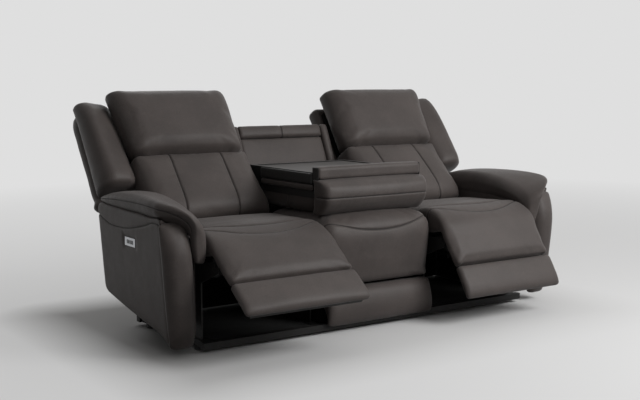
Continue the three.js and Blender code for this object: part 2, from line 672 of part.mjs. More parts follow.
function actuatorShape() {
  const motorFront = actuator.rearY - actuator.motorLength;
  const screwEnd = motorFront - actuator.screwLength;
  const rod = (radius, from, to) => new THREE.CylinderGeometry(radius, radius, to - from, 24)
    .translate(seatMiddle, (from + to) / 2, actuator.z);
  const hanger = block(
    vector(seatMiddle - actuator.hanger / 2, motorFront + actuator.hanger, actuator.z),
    vector(seatMiddle + actuator.hanger / 2, actuator.rearY - actuator.hanger, plateTop),
  );
  const motor = rod(actuator.motorRadius, motorFront, actuator.rearY);
  return join(motor, rod(actuator.screwRadius, screwEnd, motorFront + CUT), hanger);
}

function driveNut(open) {
  const y = nut.closedY - footrest.crank * radians(open);
  const half = nut.size / 2;
  const boreRadius = actuator.screwRadius + nut.clearance;
  const body = cut(
    block(
      vector(seatMiddle - half, y - nut.length / 2, actuator.z - half),
      vector(seatMiddle + half, y + nut.length / 2, actuator.z + half),
    ),
    new THREE.CylinderGeometry(boreRadius, boreRadius, nut.length + 2 * CUT, 24)
      .translate(seatMiddle, y, actuator.z),
  );
  const rodTop = actuator.z - half + nut.rod;
  const forkY = y - nut.reach;
  return join(
    body,
    block(vector(seatMiddle - nut.rod, forkY, actuator.z - half), vector(seatMiddle + nut.rod, y, rodTop)),
    block(
      vector(seatMiddle - nut.rod, forkY, rodTop - CUT),
      vector(seatMiddle + nut.rod, forkY + nut.fork, nut.forkTop),
    ),
  );
}

// Footrest, built closed: it hangs from its hinge at the origin and faces -Y

const padInner = seatInner - seatMiddle;
const padOuter = seatOuter - seatMiddle;

function footrestBoard() {
  const high = -footrest.boardStart;
  const rear = -footrest.back + GAP;
  const front = rear + footrest.board;
  const { earRadius } = footrest;
  const earAt = (from) => plateX(rounded([
    [earRadius, earRadius, earRadius / 2], [-earRadius, earRadius, earRadius / 2],
    [rear + CUT, high - CUT], [rear + CUT, high - 2 * earRadius], [front, high - 2 * earRadius],
    [earRadius, -earRadius, earRadius / 2],
  ]), from, from + footrest.ear);
  const leftEar = innerFace - seatMiddle + 1.5 * GAP;
  const rightEar = outerFace - seatMiddle - footrest.ear - 1.5 * GAP;
  const reach = sidePlate.thickness + footHinge.reach;
  const tube = barX(footHinge.pin, leftEar - reach, rightEar + footrest.ear + reach, 0, 0);
  const crankHalf = footrest.crankWidth / 2;
  const crank = plateX([
    new THREE.Vector2(-crankHalf, 0), new THREE.Vector2(crankHalf, 0),
    new THREE.Vector2(crankHalf, -footrest.crank), new THREE.Vector2(-crankHalf, -footrest.crank),
  ], -footrest.ear, footrest.ear).rotateX(radians(footrest.crankLean));
  const board = block(
    vector(leftEar, rear, -footrest.end + footrest.rounding / 2),
    vector(rightEar + footrest.ear, front, high),
  );
  return join(board, earAt(leftEar), earAt(rightEar), tube, crank);
}

function footrestPad() {
  const { roll, surface, back, channel, channelGap, rounding } = footrest;
  const start = Math.asin(back / roll);
  const end = Math.asin(surface / roll);
  const arc = Array.from({ length: arcSteps }, (_, i) => {
    const angle = start + ((end - start) * i) / (arcSteps - 1);
    return [-roll * Math.sin(angle), roll * Math.cos(angle)];
  });
  const outline = rounded([
    ...arc, [-surface, 0], [-surface, -channel + channelGap / 2, rounding / 2],
    [-back, -channel + channelGap / 2],
  ]);
  return cushion(() => outline, padInner, padOuter, {
    crown: footrest.crown, rounding, flat: (normal) => normal.x > -0.5 || normal.y > 0.3,
  });
}

function footrestEndPad() {
  const { surface, back, channel, channelGap, rounding, end, endTaper, crown } = footrest;
  const face = -surface + crown;
  const start = -channel - channelGap / 2;
  const outline = rounded([
    [-back, start], [face, start, rounding / 2], [face + endTaper, -end, rounding], [-back, -end],
  ]);
  return cushion(() => outline, padInner, padOuter, { crown, rounding, flat: (normal) => normal.x > -0.3 });
}

// Back, built upright: its hinge is at the origin, the board stands on it, and the front is -Y

const boardHalf = (outerFace - innerFace) / 2 - backBoard.side;
const boardRear = backBoard.thickness / 2;

function backBoardShape() {
  const reach = backBoard.side + sidePlate.thickness + backHinge.reach;
  return join(
    block(vector(-boardHalf, -boardRear, backBoard.low), vector(boardHalf, boardRear, backBoard.high)),
    barX(backHinge.pin, -boardHalf - reach, -boardHalf + reach, 0, 0),
    barX(backHinge.pin, boardHalf - reach, boardHalf + reach, 0, 0),
  );
}

function shellShape() {
  const front = boardRear + GAP;
  const from = padInner;
  const to = wingOuter - shell.inset - seatMiddle;
  const turnAt = (wingInner - seatMiddle - from) / (to - from);
  const outlineAt = (share) => {
    const risen = THREE.MathUtils.smoothstep(share, turnAt - shell.turn, turnAt);
    const low = THREE.MathUtils.lerp(shell.low, shell.outerLow, risen);
    return rounded([
      [front, low], [-shell.rear, low, shell.rounding],
      [-shell.rear, shell.high, shell.rounding], [front, shell.high],
    ]);
  };
  return cushion(outlineAt, from, to, {
    crown: shell.crown, rounding: shell.rounding, flat: (normal) => normal.x < 0.3,
  });
}

function lumbarShape() {
  const outline = rounded([
    [-boardRear - GAP, lumbar.hingeGap], [-lumbar.hingeGap, lumbar.low + CUT],
    [-lumbar.belly, lumbar.low, lumbar.rounding / 2], [-lumbar.belly, lumbar.bellyLow, lumbar.rounding],
    [-lumbar.front, lumbar.bellyHigh, lumbar.rounding * 2],
    [-lumbar.front, lumbar.high, lumbar.rounding], [-boardRear - GAP, lumbar.high],
  ]);
  return cushion(() => outline, padInner, wingInner - CUT - seatMiddle, {
    crown: lumbar.crown, rounding: lumbar.rounding, flat: (normal) => normal.x > -0.3,
  });
}

function wingShape() {
  const outlineAt = (share) => {
    const low = THREE.MathUtils.lerp(wing.innerFront, wing.front, share);
    const high = THREE.MathUtils.lerp(wing.innerTop, wing.frontTop, share);
    return rounded([
      [boardRear, wing.low], [-low, wing.low, wing.rounding / 2],
      [-low, wing.low + wing.rounding * 2, wing.rounding],
      [-high, wing.high, wing.rounding / 2], [boardRear, wing.high],
    ]);
  };
  return cushion(outlineAt, wingInner - seatMiddle, wingOuter - seatMiddle, {
    crown: wing.crown, rounding: wing.rounding, flat: (normal) => normal.x > -0.3,
  });
}

function headrestShape() {
  const headrestHalf = (seatOuter - seatInner) / 2 - headrest.inset;
  const outline = rounded([
    [-boardRear - GAP, headrest.low], [-headrest.front, headrest.low, headrest.rounding / 2],
    [-headrest.front, headrest.high, headrest.rounding],
    [-boardRear - GAP, headrest.high, headrest.rounding / 2],
  ]);
  return cushion(() => outline, -headrestHalf, headrestHalf, {
    crown: headrest.crown, rounding: headrest.rounding, flat: (normal) => normal.x > 0.5 || normal.y < -0.5,
  });
}

for (const [word, side, open] of [['left', -1, footrest.leftOpen], ['right', 1, footrest.rightOpen]]) {
  const put = (parent, name, geometry, look) => {
    add(parent, `${word}_${name}`, mirrored(geometry, side), look);
  };
  const [innerPlate, outerPlate] = sidePlates();
  put(sofa, 'inner_side_plate', innerPlate, STEEL);
  put(sofa, 'outer_side_plate', outerPlate, STEEL);
  put(sofa, 'seat_deck', deck(), WOOD);
  put(sofa, 'seat_cushion', seatCushionShape(), LEATHER);
  put(sofa, 'actuator', actuatorShape(), STEEL);
  put(sofa, 'drive_nut', driveNut(open), PLASTIC);

  const foot = new THREE.Group();
  foot.position.set(side * seatMiddle, footHinge.y, footHinge.z);
  foot.rotation.x = -radians(open);
  sofa.add(foot);
  put(foot, 'footrest_board', footrestBoard(), STEEL);
  put(foot, 'footrest_pad', footrestPad(), LEATHER);
  put(foot, 'footrest_end_pad', footrestEndPad(), LEATHER);

  const back = new THREE.Group();
  back.position.set(side * seatMiddle, backHinge.y, backHinge.z);
  back.rotation.x = -radians(backHinge.lean);
  sofa.add(back);
  put(back, 'back_board', backBoardShape(), WOOD);
  put(back, 'back_shell', shellShape(), LEATHER);
  put(back, 'lumbar_cushion', lumbarShape(), LEATHER);
  put(back, 'wing_pad', wingShape(), LEATHER);
  put(back, 'headrest_cushion', headrestShape(), LEATHER);
}

export default sofa;
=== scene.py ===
"""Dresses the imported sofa: soft goods, leather and metal finishes, floor, light and camera.

Lengths are millimetres in the part's own frame (+X right, -Y front, +Z up), apart from the
places of the camera, the lamps and the floor and the depth of bumps, which are in metres.
Angles are in degrees.
"""

import json
import math

import bpy
import numpy as np
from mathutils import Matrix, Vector, kdtree, noise


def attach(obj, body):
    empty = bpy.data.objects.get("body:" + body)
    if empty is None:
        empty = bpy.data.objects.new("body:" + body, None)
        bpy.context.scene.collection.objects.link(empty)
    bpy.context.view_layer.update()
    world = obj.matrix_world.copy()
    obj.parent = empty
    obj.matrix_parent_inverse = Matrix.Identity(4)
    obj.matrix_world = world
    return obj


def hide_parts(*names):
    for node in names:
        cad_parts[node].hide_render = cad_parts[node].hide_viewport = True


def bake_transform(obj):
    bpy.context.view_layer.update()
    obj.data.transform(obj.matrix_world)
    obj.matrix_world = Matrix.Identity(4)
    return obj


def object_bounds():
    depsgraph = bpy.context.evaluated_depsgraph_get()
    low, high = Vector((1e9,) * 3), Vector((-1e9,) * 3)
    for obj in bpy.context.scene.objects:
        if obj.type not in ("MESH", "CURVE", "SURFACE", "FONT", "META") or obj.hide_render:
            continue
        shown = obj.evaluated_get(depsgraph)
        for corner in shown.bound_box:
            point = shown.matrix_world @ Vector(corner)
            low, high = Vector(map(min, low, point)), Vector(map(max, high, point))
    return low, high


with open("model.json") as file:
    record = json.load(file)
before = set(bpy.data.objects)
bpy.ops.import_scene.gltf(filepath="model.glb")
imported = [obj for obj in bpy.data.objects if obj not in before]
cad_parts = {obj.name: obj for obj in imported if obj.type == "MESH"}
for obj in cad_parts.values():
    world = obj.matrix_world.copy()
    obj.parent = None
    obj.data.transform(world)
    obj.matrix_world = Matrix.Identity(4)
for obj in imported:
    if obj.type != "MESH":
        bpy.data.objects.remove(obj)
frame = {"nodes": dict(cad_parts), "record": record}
cad_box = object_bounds()

MM = 0.001
# Keeps a division from meeting nought
TINY = 1e-9
SIDES = (("left", -1), ("right", 1))

# Camera, from the fit to the photograph
LENS, SENSOR = 58.22, 36
CAMERA_PLACE = (-2.7893, -3.8728, 1.0815)
CAMERA_PITCH, CAMERA_YAW = 83.47, -34.66


def added(name, data):
    """A new object in the scene."""
    made = bpy.data.objects.new(name, data)
    bpy.context.scene.collection.objects.link(made)
    return made


def mesh_piece(name, points, quads):
    """A new smooth mesh object through points in millimetres."""
    mesh = bpy.data.meshes.new(name)
    mesh.from_pydata((points * MM).tolist(), [], quads.tolist())
    mesh.polygons.foreach_set("use_smooth", [True] * len(mesh.polygons))
    return added(name, mesh)


camera = added("camera", bpy.data.cameras.new("camera"))
camera.data.lens, camera.data.sensor_width = LENS, SENSOR
camera.location = CAMERA_PLACE
camera.rotation_euler = (math.radians(CAMERA_PITCH), 0, math.radians(CAMERA_YAW))
bpy.context.scene.camera = camera


# Materials


class Nodes:
    """The node tree of a material or of the world, with short calls to add and join nodes."""

    def __init__(self, owner):
        owner.use_nodes = True
        self.owner, self.tree = owner, owner.node_tree

    def add(self, kind, sockets=(), **settings):
        node = self.tree.nodes.new("ShaderNode" + kind)
        for key, value in settings.items():
            setattr(node, key, value)
        self.fill(node, dict(sockets))
        return node

    def fill(self, node, sockets):
        """Joins each named socket to another one, or sets its value."""
        for key, value in sockets.items():
            if isinstance(value, bpy.types.NodeSocket):
                self.tree.links.new(value, node.inputs[key])
            else:
                node.inputs[key].default_value = value

    def place(self):
        return self.add("TexCoord").outputs["Object"]

    def noise(self, scale, detail=2.0, roughness=0.5, place=None):
        place = self.place() if place is None else place
        sockets = {"Vector": place, "Scale": scale, "Detail": detail, "Roughness": roughness}
        return self.add("TexNoise", sockets).outputs["Fac"]

    def streaks(self, stretch, detail):
        """Noise with its own scale along each axis."""
        mapping = self.add("Mapping", {"Vector": self.place(), "Scale": stretch})
        return self.noise(1.0, detail, place=mapping.outputs[0])

    def ramp(self, value, low, high, to_low=0.0, to_high=1.0):
        sockets = {"Value": value, "From Min": low, "From Max": high, "To Min": to_low, "To Max": to_high}
        return self.add("MapRange", sockets).outputs["Result"]

    def math(self, operation, a, b=0.0):
        return self.add("Math", {0: a, 1: b}, operation=operation).outputs[0]

    def vector(self, operation, a, b=(0, 0, 0), output="Vector"):
        return self.add("VectorMath", {0: a, 1: b}, operation=operation).outputs[output]

    def mix(self, share, a, b):
        return self.add("Mix", {"Factor": share, 6: a, 7: b}, data_type="RGBA").outputs[2]

    def bump(self, height, distance, strength, **over):
        """A bumped normal, over another one where Normal gives it."""
        sockets = {"Height": height, "Distance": distance, "Strength": strength, **over}
        return self.add("Bump", sockets).outputs["Normal"]

    def seen(self):
        """1 for camera, glossy and transmission rays, and 0 for the diffuse light."""
        path = self.add("LightPath")
        direct = self.math("MAXIMUM", path.outputs["Is Camera Ray"], path.outputs["Is Transmission Ray"])
        return self.math("MAXIMUM", direct, path.outputs["Is Glossy Ray"])

    def finished(self, sockets):
        """The material, with these sockets of its shader joined or set."""
        self.fill(self.tree.nodes["Principled BSDF"], sockets)
        return self.owner


def rgb(red, green, blue):
    return (red, green, blue, 1.0)


def times(colour, share):
    """The colour made paler or darker."""
    return rgb(*(part * share for part in colour[:3]))


# In what follows a noise is (features a metre, detail, roughness), a range is where a pattern
# starts and where it is full, a bump is (depth in metres, strength), and a tint or height is
# the share that a pattern adds to the colour or to the relief

# Most of a noise's values lie in this range
MIDDLE_RANGE = (0.3, 0.7)

LEATHER_DARK = rgb(0.0610, 0.0515, 0.0482)
LEATHER_PALE = rgb(0.0790, 0.0665, 0.0620)
LEATHER_WORN = rgb(0.1000, 0.0845, 0.0790)
LEATHER_ROUGHNESS = (0.44, 0.52)
PEBBLE_SCALE, PEBBLE_RANGE, PEBBLE_HEIGHT = 620.0, (0.05, 0.75), 0.35
# Creases of the grain: scale, range, relief, and the share of painted shade laid in them
CREASE_SCALE, CREASE_RANGE, CREASE_HEIGHT, CREASE_SHADE_TINT = 150.0, (0.0, 0.10), 0.65, 0.25
CLOUD_NOISE, CLOUD_RANGE = (5.5, 4.0, 0.55), (0.34, 0.68)
PATCH_NOISE, WORN_RANGE, WORN_TINT = (38.0, 3.0, 0.6), (0.52, 0.80), 0.35
GRAIN_BUMP = (0.0004, 0.55)
WAVE_NOISE, WAVE_BUMP = (20.0, 3.0, 0.55), (0.004, 0.10)
# Seams: millimetres from the seam's middle, and along the row of stitches beside it
# Colour of the painted shade in the grain's creases and in the seam grooves
CREASE_AND_GROOVE_SHADE = rgb(0.011, 0.010, 0.0095)
THREAD = rgb(0.055, 0.047, 0.043)
# Seam grooves: range, share of painted shade, and added roughness
GROOVE_RANGE, GROOVE_SHADE_TINT, GROOVE_ROUGHER = (0.6, 3.8), 0.85, 0.2
STITCH_PLACE, STITCH_HALF, STITCH_PITCH, STITCH_SHARE = 5.0, 0.55, 4.2, 0.7
STITCH_TINT, STITCH_HEIGHT = 0.6, 1.2


def leather(name):
    """Grained leather: pebbles, creases, soft colour clouds, seams with a stitched row, and painted shade
    in the creases and seam grooves.
    """
    n = Nodes(bpy.data.materials.new(name))
    place = n.place()
    pebble = n.add("TexVoronoi", {"Vector": place, "Scale": PEBBLE_SCALE})
    pebble = n.ramp(pebble.outputs["Distance"], *PEBBLE_RANGE, 1.0, 0.0)
    crease = n.add("TexVoronoi", {"Vector": place, "Scale": CREASE_SCALE}, feature="DISTANCE_TO_EDGE")
    crease = n.ramp(crease.outputs["Distance"], *CREASE_RANGE)
    patch = n.noise(*PATCH_NOISE)
    seam = n.add("Attribute", attribute_name="seam").outputs["Fac"]
    along = n.add("Attribute", attribute_name="along").outputs["Fac"]
    groove = n.ramp(seam, *GROOVE_RANGE, 1.0, 0.0)
    row = n.math("LESS_THAN", n.math("ABSOLUTE", n.math("SUBTRACT", seam, STITCH_PLACE)), STITCH_HALF)
    dash = n.math("LESS_THAN", n.math("FRACT", n.math("DIVIDE", along, STITCH_PITCH)), STITCH_SHARE)
    stitch = n.math("MULTIPLY", row, dash)

    tone = n.mix(n.ramp(n.noise(*CLOUD_NOISE), *CLOUD_RANGE), LEATHER_DARK, LEATHER_PALE)
    # Over the tone: paler worn patches, painted shade in the creases and seam grooves, and stitches
    for pattern, tint, colour in (
        (n.ramp(patch, *WORN_RANGE), WORN_TINT, LEATHER_WORN),
        (n.math("SUBTRACT", 1.0, crease), CREASE_SHADE_TINT, CREASE_AND_GROOVE_SHADE),
        (groove, GROOVE_SHADE_TINT, CREASE_AND_GROOVE_SHADE),
        (stitch, STITCH_TINT, THREAD),
    ):
        tone = n.mix(n.math("MULTIPLY", pattern, tint), tone, colour)

    height = n.math("MULTIPLY", pebble, PEBBLE_HEIGHT)
    height = n.math("ADD", height, n.math("MULTIPLY", crease, CREASE_HEIGHT))
    height = n.math("ADD", height, n.math("MULTIPLY", stitch, STITCH_HEIGHT))
    rough = n.ramp(patch, *MIDDLE_RANGE, *LEATHER_ROUGHNESS)
    return n.finished({
        "Base Color": tone,
        "Normal": n.bump(n.noise(*WAVE_NOISE), *WAVE_BUMP, Normal=n.bump(height, *GRAIN_BUMP)),
        "Roughness": n.math("ADD", rough, n.math("MULTIPLY", groove, GROOVE_ROUGHER)),
        "Specular IOR Level": 0.17, "Coat Weight": 0.02, "Coat Roughness": 0.35,
        "Sheen Weight": 0.08, "Sheen Roughness": 0.5,
    })


PLASTIC_CLOUD_SCALE, PLASTIC_GLOSS_SCALE, PLASTIC_GRAIN = 14.0, 60.0, (900.0, 3.0)
PLASTIC_PALER, PLASTIC_SWING, PLASTIC_BUMP = 1.12, 0.05, (0.0001, 0.4)


def plastic(name, colour, roughness):
    """Moulded plastic with a fine spark-eroded texture and faint uneven gloss."""
    n = Nodes(bpy.data.materials.new(name))
    gloss = (roughness - PLASTIC_SWING, roughness + PLASTIC_SWING)
    return n.finished({
        "Base Color": n.mix(n.noise(PLASTIC_CLOUD_SCALE), colour, times(colour, PLASTIC_PALER)),
        "Roughness": n.ramp(n.noise(PLASTIC_GLOSS_SCALE), *MIDDLE_RANGE, *gloss),
        "Specular IOR Level": 0.25,
        "Normal": n.bump(n.noise(*PLASTIC_GRAIN), *PLASTIC_BUMP),
    })


TRAY_DARK, TRAY_PALE = rgb(0.086, 0.082, 0.080), rgb(0.120, 0.115, 0.112)
# Colour of the painted shade on the faces of the tray that don't look up
TRAY_PAINTED_SHADE = rgb(0.010, 0.010, 0.010)
TRAY_STRETCH, TRAY_DETAIL, TRAY_BUMP = (46.0, 1.6, 46.0), 5.0, (0.0002, 0.4)
TRAY_RANGE, TRAY_ROUGHNESS = (0.35, 0.65), (0.48, 0.60)
# How far a face of the tray looks up where its painted shade starts and ends to give way to the pale
# laminate
UPWARD_RANGE = (0.5, 0.85)


def grained_tray(name):
    """Pale laminate with fine lines from front to back, with painted shade on its sides and in its wells.
    """
    n = Nodes(bpy.data.materials.new(name))
    line = n.streaks(TRAY_STRETCH, TRAY_DETAIL)
    normal = n.add("SeparateXYZ", {"Vector": n.add("NewGeometry").outputs["Normal"]})
    tone = n.mix(n.ramp(line, *TRAY_RANGE), TRAY_DARK, TRAY_PALE)
    return n.finished({
        # Faces that don't look up get painted shade
        "Base Color": n.mix(n.ramp(normal.outputs["Z"], *UPWARD_RANGE), TRAY_PAINTED_SHADE, tone),
        "Roughness": n.ramp(line, *MIDDLE_RANGE, *TRAY_ROUGHNESS),
        "Specular IOR Level": 0.15,
        "Normal": n.bump(line, *TRAY_BUMP),
    })


STEEL_BLACK, STEEL_RUBBED = rgb(0.0125, 0.012, 0.0115), rgb(0.040, 0.039, 0.038)
RUBBED_NOISE, RUBBED_RANGE = (45.0, 6.0, 0.7), (0.62, 0.75)
STEEL_GLOSS_SCALE, STEEL_ROUGHNESS = 120.0, (0.42, 0.58)
PEEL_NOISE, PEEL_BUMP = (700.0, 2.0), (0.00015, 0.5)


def painted_steel(name):
    """Black powder coat: fine orange peel, a few paler rubbed spots."""
    n = Nodes(bpy.data.materials.new(name))
    rubbed = n.ramp(n.noise(*RUBBED_NOISE), *RUBBED_RANGE)
    return n.finished({
        "Base Color": n.mix(rubbed, STEEL_BLACK, STEEL_RUBBED),
        "Roughness": n.ramp(n.noise(STEEL_GLOSS_SCALE), *MIDDLE_RANGE, *STEEL_ROUGHNESS),
        "Specular IOR Level": 0.25,
        "Normal": n.bump(n.noise(*PEEL_NOISE), *PEEL_BUMP),
    })


BRUSH_DETAIL, BRUSH_DARKER, BRUSH_ROUGHNESS, BRUSH_BUMP = 4.0, 0.82, (0.22, 0.38), (0.0001, 0.4)


def brushed(name, colour, stretch):
    """Brushed metal: streaks stretched along one axis."""
    n = Nodes(bpy.data.materials.new(name))
    streak = n.streaks(stretch, BRUSH_DETAIL)
    return n.finished({
        "Base Color": n.mix(streak, colour, times(colour, BRUSH_DARKER)),
        "Metallic": 1.0,
        "Roughness": n.ramp(streak, *MIDDLE_RANGE, *BRUSH_ROUGHNESS),
        "Normal": n.bump(streak, *BRUSH_BUMP),
    })


WEAVE_DARK, WEAVE_PALE, LINT = rgb(0.005, 0.005, 0.005), rgb(0.012, 0.012, 0.011), rgb(0.022, 0.021, 0.020)
THREADS, THREAD_WANDER, WEAVE_BUMP = 190.0, 0.6, (0.0004, 0.6)
LINT_NOISE, LINT_RANGE, LINT_TINT = (55.0, 5.0, 0.65), (0.55, 0.8), 0.5


def lining_cloth(name):
    """Black lining cloth on the boards: crossed threads, a little lint, dull."""
    n = Nodes(bpy.data.materials.new(name))
    threads = []
    for axis in "XZ":
        sockets = {"Vector": n.place(), "Scale": THREADS, "Distortion": THREAD_WANDER}
        threads.append(n.add("TexWave", sockets, bands_direction=axis).outputs["Fac"])
    weave = n.math("MULTIPLY", *threads)
    lint = n.ramp(n.noise(*LINT_NOISE), *LINT_RANGE, 0.0, LINT_TINT)
    return n.finished({
        "Base Color": n.mix(lint, n.mix(weave, WEAVE_DARK, WEAVE_PALE), LINT),
        "Roughness": 0.95, "Specular IOR Level": 0.08, "Sheen Weight": 0.02,
        "Normal": n.bump(weave, *WEAVE_BUMP),
    })


FINISHES = {
    "leather": leather("leather"),
    "black_steel": painted_steel("black_steel"),
    "lining": lining_cloth("lining_cloth"),
    "black_plastic": plastic("black_plastic", rgb(0.014, 0.0135, 0.013), 0.5),
    "tray_plastic": grained_tray("tray_plastic"),
    "grey_button": plastic("grey_button", rgb(0.33, 0.34, 0.36), 0.4),
    "silver_trim": brushed("silver_trim", rgb(0.50, 0.51, 0.53), (900.0, 6.0, 900.0)),
    "cup_steel": brushed("cup_steel", rgb(0.42, 0.42, 0.43), (60.0, 60.0, 900.0)),
}
for entry in frame["record"]["subparts"]:
    data = frame["nodes"][entry["node"]].data
    data.materials.clear()
    data.materials.append(FINISHES[entry["material_slot"]])


# Padded shapes


def eased(columns, places, at):
    """Values of the columns at the given places, on a smooth curve through their rows."""
    columns, places = np.asarray(columns, float), np.asarray(places, float)
    slopes = np.gradient(columns, places, axis=0)
    i = np.clip(np.searchsorted(places, at, side="right") - 1, 0, len(places) - 2)
    span = (places[i + 1] - places[i])[:, None]
    t = ((at - places[i])[:, None]) / span
    t2, t3 = t * t, t * t * t
    return (
        (2 * t3 - 3 * t2 + 1) * columns[i]
        + (t3 - 2 * t2 + t) * span * slopes[i]
        + (3 * t2 - 2 * t3) * columns[i + 1]
        + (t3 - t2) * span * slopes[i + 1]
    )


# Grid lines beside a seam. Plain ones closer than the clear width are left out. Places are
# kept to so many decimals
SEAM_LINES, SEAM_CLEAR, DECIMALS = (0.0, 1.5, 3.2, 5.0, 7.5, 11.0), 14.3, 4


def grid_lines(length, step, seams):
    """Places from 0 to length, a step apart, with finer ones beside each seam."""
    places = list(np.linspace(0, length, max(int(round(length / step)), 2) + 1))
    for seam in seams:
        places = [p for p in places if abs(p - seam) > SEAM_CLEAR or p in (0, length)]
        beside = [seam + sign * away for away in SEAM_LINES for sign in (-1, 1)]
        places += [p for p in beside if 0 < p < length]
    return np.array(sorted(set(np.round(places, DECIMALS))))


def box_lattice(us, ss, ts):
    """Vertices and quads of a box's surface on the given grid lines."""
    nu, ns, nt = len(us), len(ss), len(ts)
    number = -np.ones((nu, ns, nt), int)
    shell = np.zeros((nu, ns, nt), bool)
    shell[[0, -1]] = shell[:, [0, -1]] = shell[:, :, [0, -1]] = True
    number[shell] = np.arange(shell.sum())
    index = np.argwhere(shell)
    points = np.column_stack((us[index[:, 0]], ss[index[:, 1]], ts[index[:, 2]]))
    quads = [
        grid_quads(face, flip) for face, flip in (
            (number[0], True), (number[-1], False), (number[:, 0], False),
            (number[:, -1], True), (number[:, :, 0], True), (number[:, :, -1], False),
        )
    ]
    return points, np.concatenate(quads)


def grid_quads(number, flip=False):
    """Quads between the numbered points of a grid, turned round if flip says so."""
    ring = (number[:-1, :-1], number[1:, :-1], number[1:, 1:], number[:-1, 1:])
    return np.stack([corner.ravel() for corner in (ring[::-1] if flip else ring)], axis=1)


def normals_of(points, quads):
    """Unit vertex normals of a quad mesh."""
    corners = points[quads]
    face = np.cross(corners[:, 2] - corners[:, 0], corners[:, 3] - corners[:, 1])
    total = np.zeros_like(points)
    for k in range(4):
        np.add.at(total, quads[:, k], face)
    return total / np.maximum(np.linalg.norm(total, axis=1), TINY)[:, None]


# How far the noise moves along each axis from one seed to the next
SEED_SHIFT = (7.31, 3.17, 5.71)


def rippled(points, scale, seed):
    """Smooth noise from -1 to 1 at the points, with features about as long as the scale."""
    shift = Vector([seed * step for step in SEED_SHIFT])
    return np.array([noise.noise(Vector(p / scale) + shift) for p in points])


# Distance that stands for no seam near by
NO_SEAM = 1e3
# Shares of the thickness and width past which a seam lies on the outer face or the far side
OUTER_SHARE, FAR_SHARE = 0.4, 0.6
# Share of a bow's reach over which it dies out at the pad's edge
BOW_EDGE = 0.3


class Seam:
    """A sewn line at a share of the pad's width (u), length (s) or thickness (t).

    bow moves it by these lengths, at even steps along it, and the mesh with it as far as reach.
    span is the share of its run that is sewn. outer and far keep it to the pad's outer face
    and to its far side.
    """

    AXES = {"u": (0, 1), "s": (1, 0), "t": (2, 1)}

    def __init__(self, axis, at, bow=None, reach=70.0, depth=4.0, span=(-1, 2), outer=False, far=False):
        self.axis, self.run = self.AXES[axis]
        self.at, self.bow, self.reach, self.depth = at, bow, reach, depth
        self.span, self.outer, self.far = span, outer, far

    def bend(self, points, full):
        """How far the points move along the seam's axis, so that it runs in its bow."""
        at, size = points[:, self.axis], full[self.axis]
        shares = np.linspace(0, 1, len(self.bow))
        offset = eased(np.array(self.bow, float)[:, None], shares, points[:, self.run] / full[self.run])
        inside = np.clip(np.minimum(at, size - at) / (BOW_EDGE * self.reach), 0, 1)
        return offset[:, 0] * np.exp(-(((at - self.at * size) / self.reach) ** 2)) * inside

    def distance(self, strip, full):
        """Each point's distance from the seam, and its place along it."""
        run = strip[:, self.run]
        share = run / full[self.run]
        low, high = self.span
        outside = np.maximum(np.maximum(low - share, share - high), 0) * full[self.run]
        gap = np.hypot(strip[:, self.axis] - self.at * full[self.axis], outside)
        if self.outer:
            gap = np.where(strip[:, 2] > full[2] * OUTER_SHARE, gap, NO_SEAM)
        if self.far:
            gap = np.where(strip[:, 0] > full[0] * FAR_SHARE, gap, NO_SEAM)
        return gap, run


PAD_STEP, PAD_LAYERS, PAD_WRINKLE, PAD_FILL = 9, 4, 0.8, 0.7
# Largest share of a pad's width, length or thickness that the radius of its edges takes
MOST_RADIUS = 0.49
# How blunt the crown is, how soon it rises from the ends, and how late the sides swell
CROWN_POWER, END_RISE, SIDE_POWER = 0.6, 2.2, 3
# Width over which a bed fades out around its floor
DENT_FADE = 26.0
# Seams: half the groove's width, and the gathers beside it with the length and width of one,
# where they are full and over what length they fade
GROOVE_HALF = 4.2
GATHER_HEIGHT, GATHER_LENGTH, GATHER_WIDTH, GATHER_FULL, GATHER_FADE = 1.2, 17.0, 60.0, 5.0, 34.0
# Wrinkles: size of the broad and the fine ones, share and seed of the fine ones, and how soon
# they rise above the inner face
BROAD_WRINKLE, FINE_WRINKLE, FINE_SHARE, FINE_SEED, SKIN_RISE = 85.0, 38.0, 0.6, 3, 3


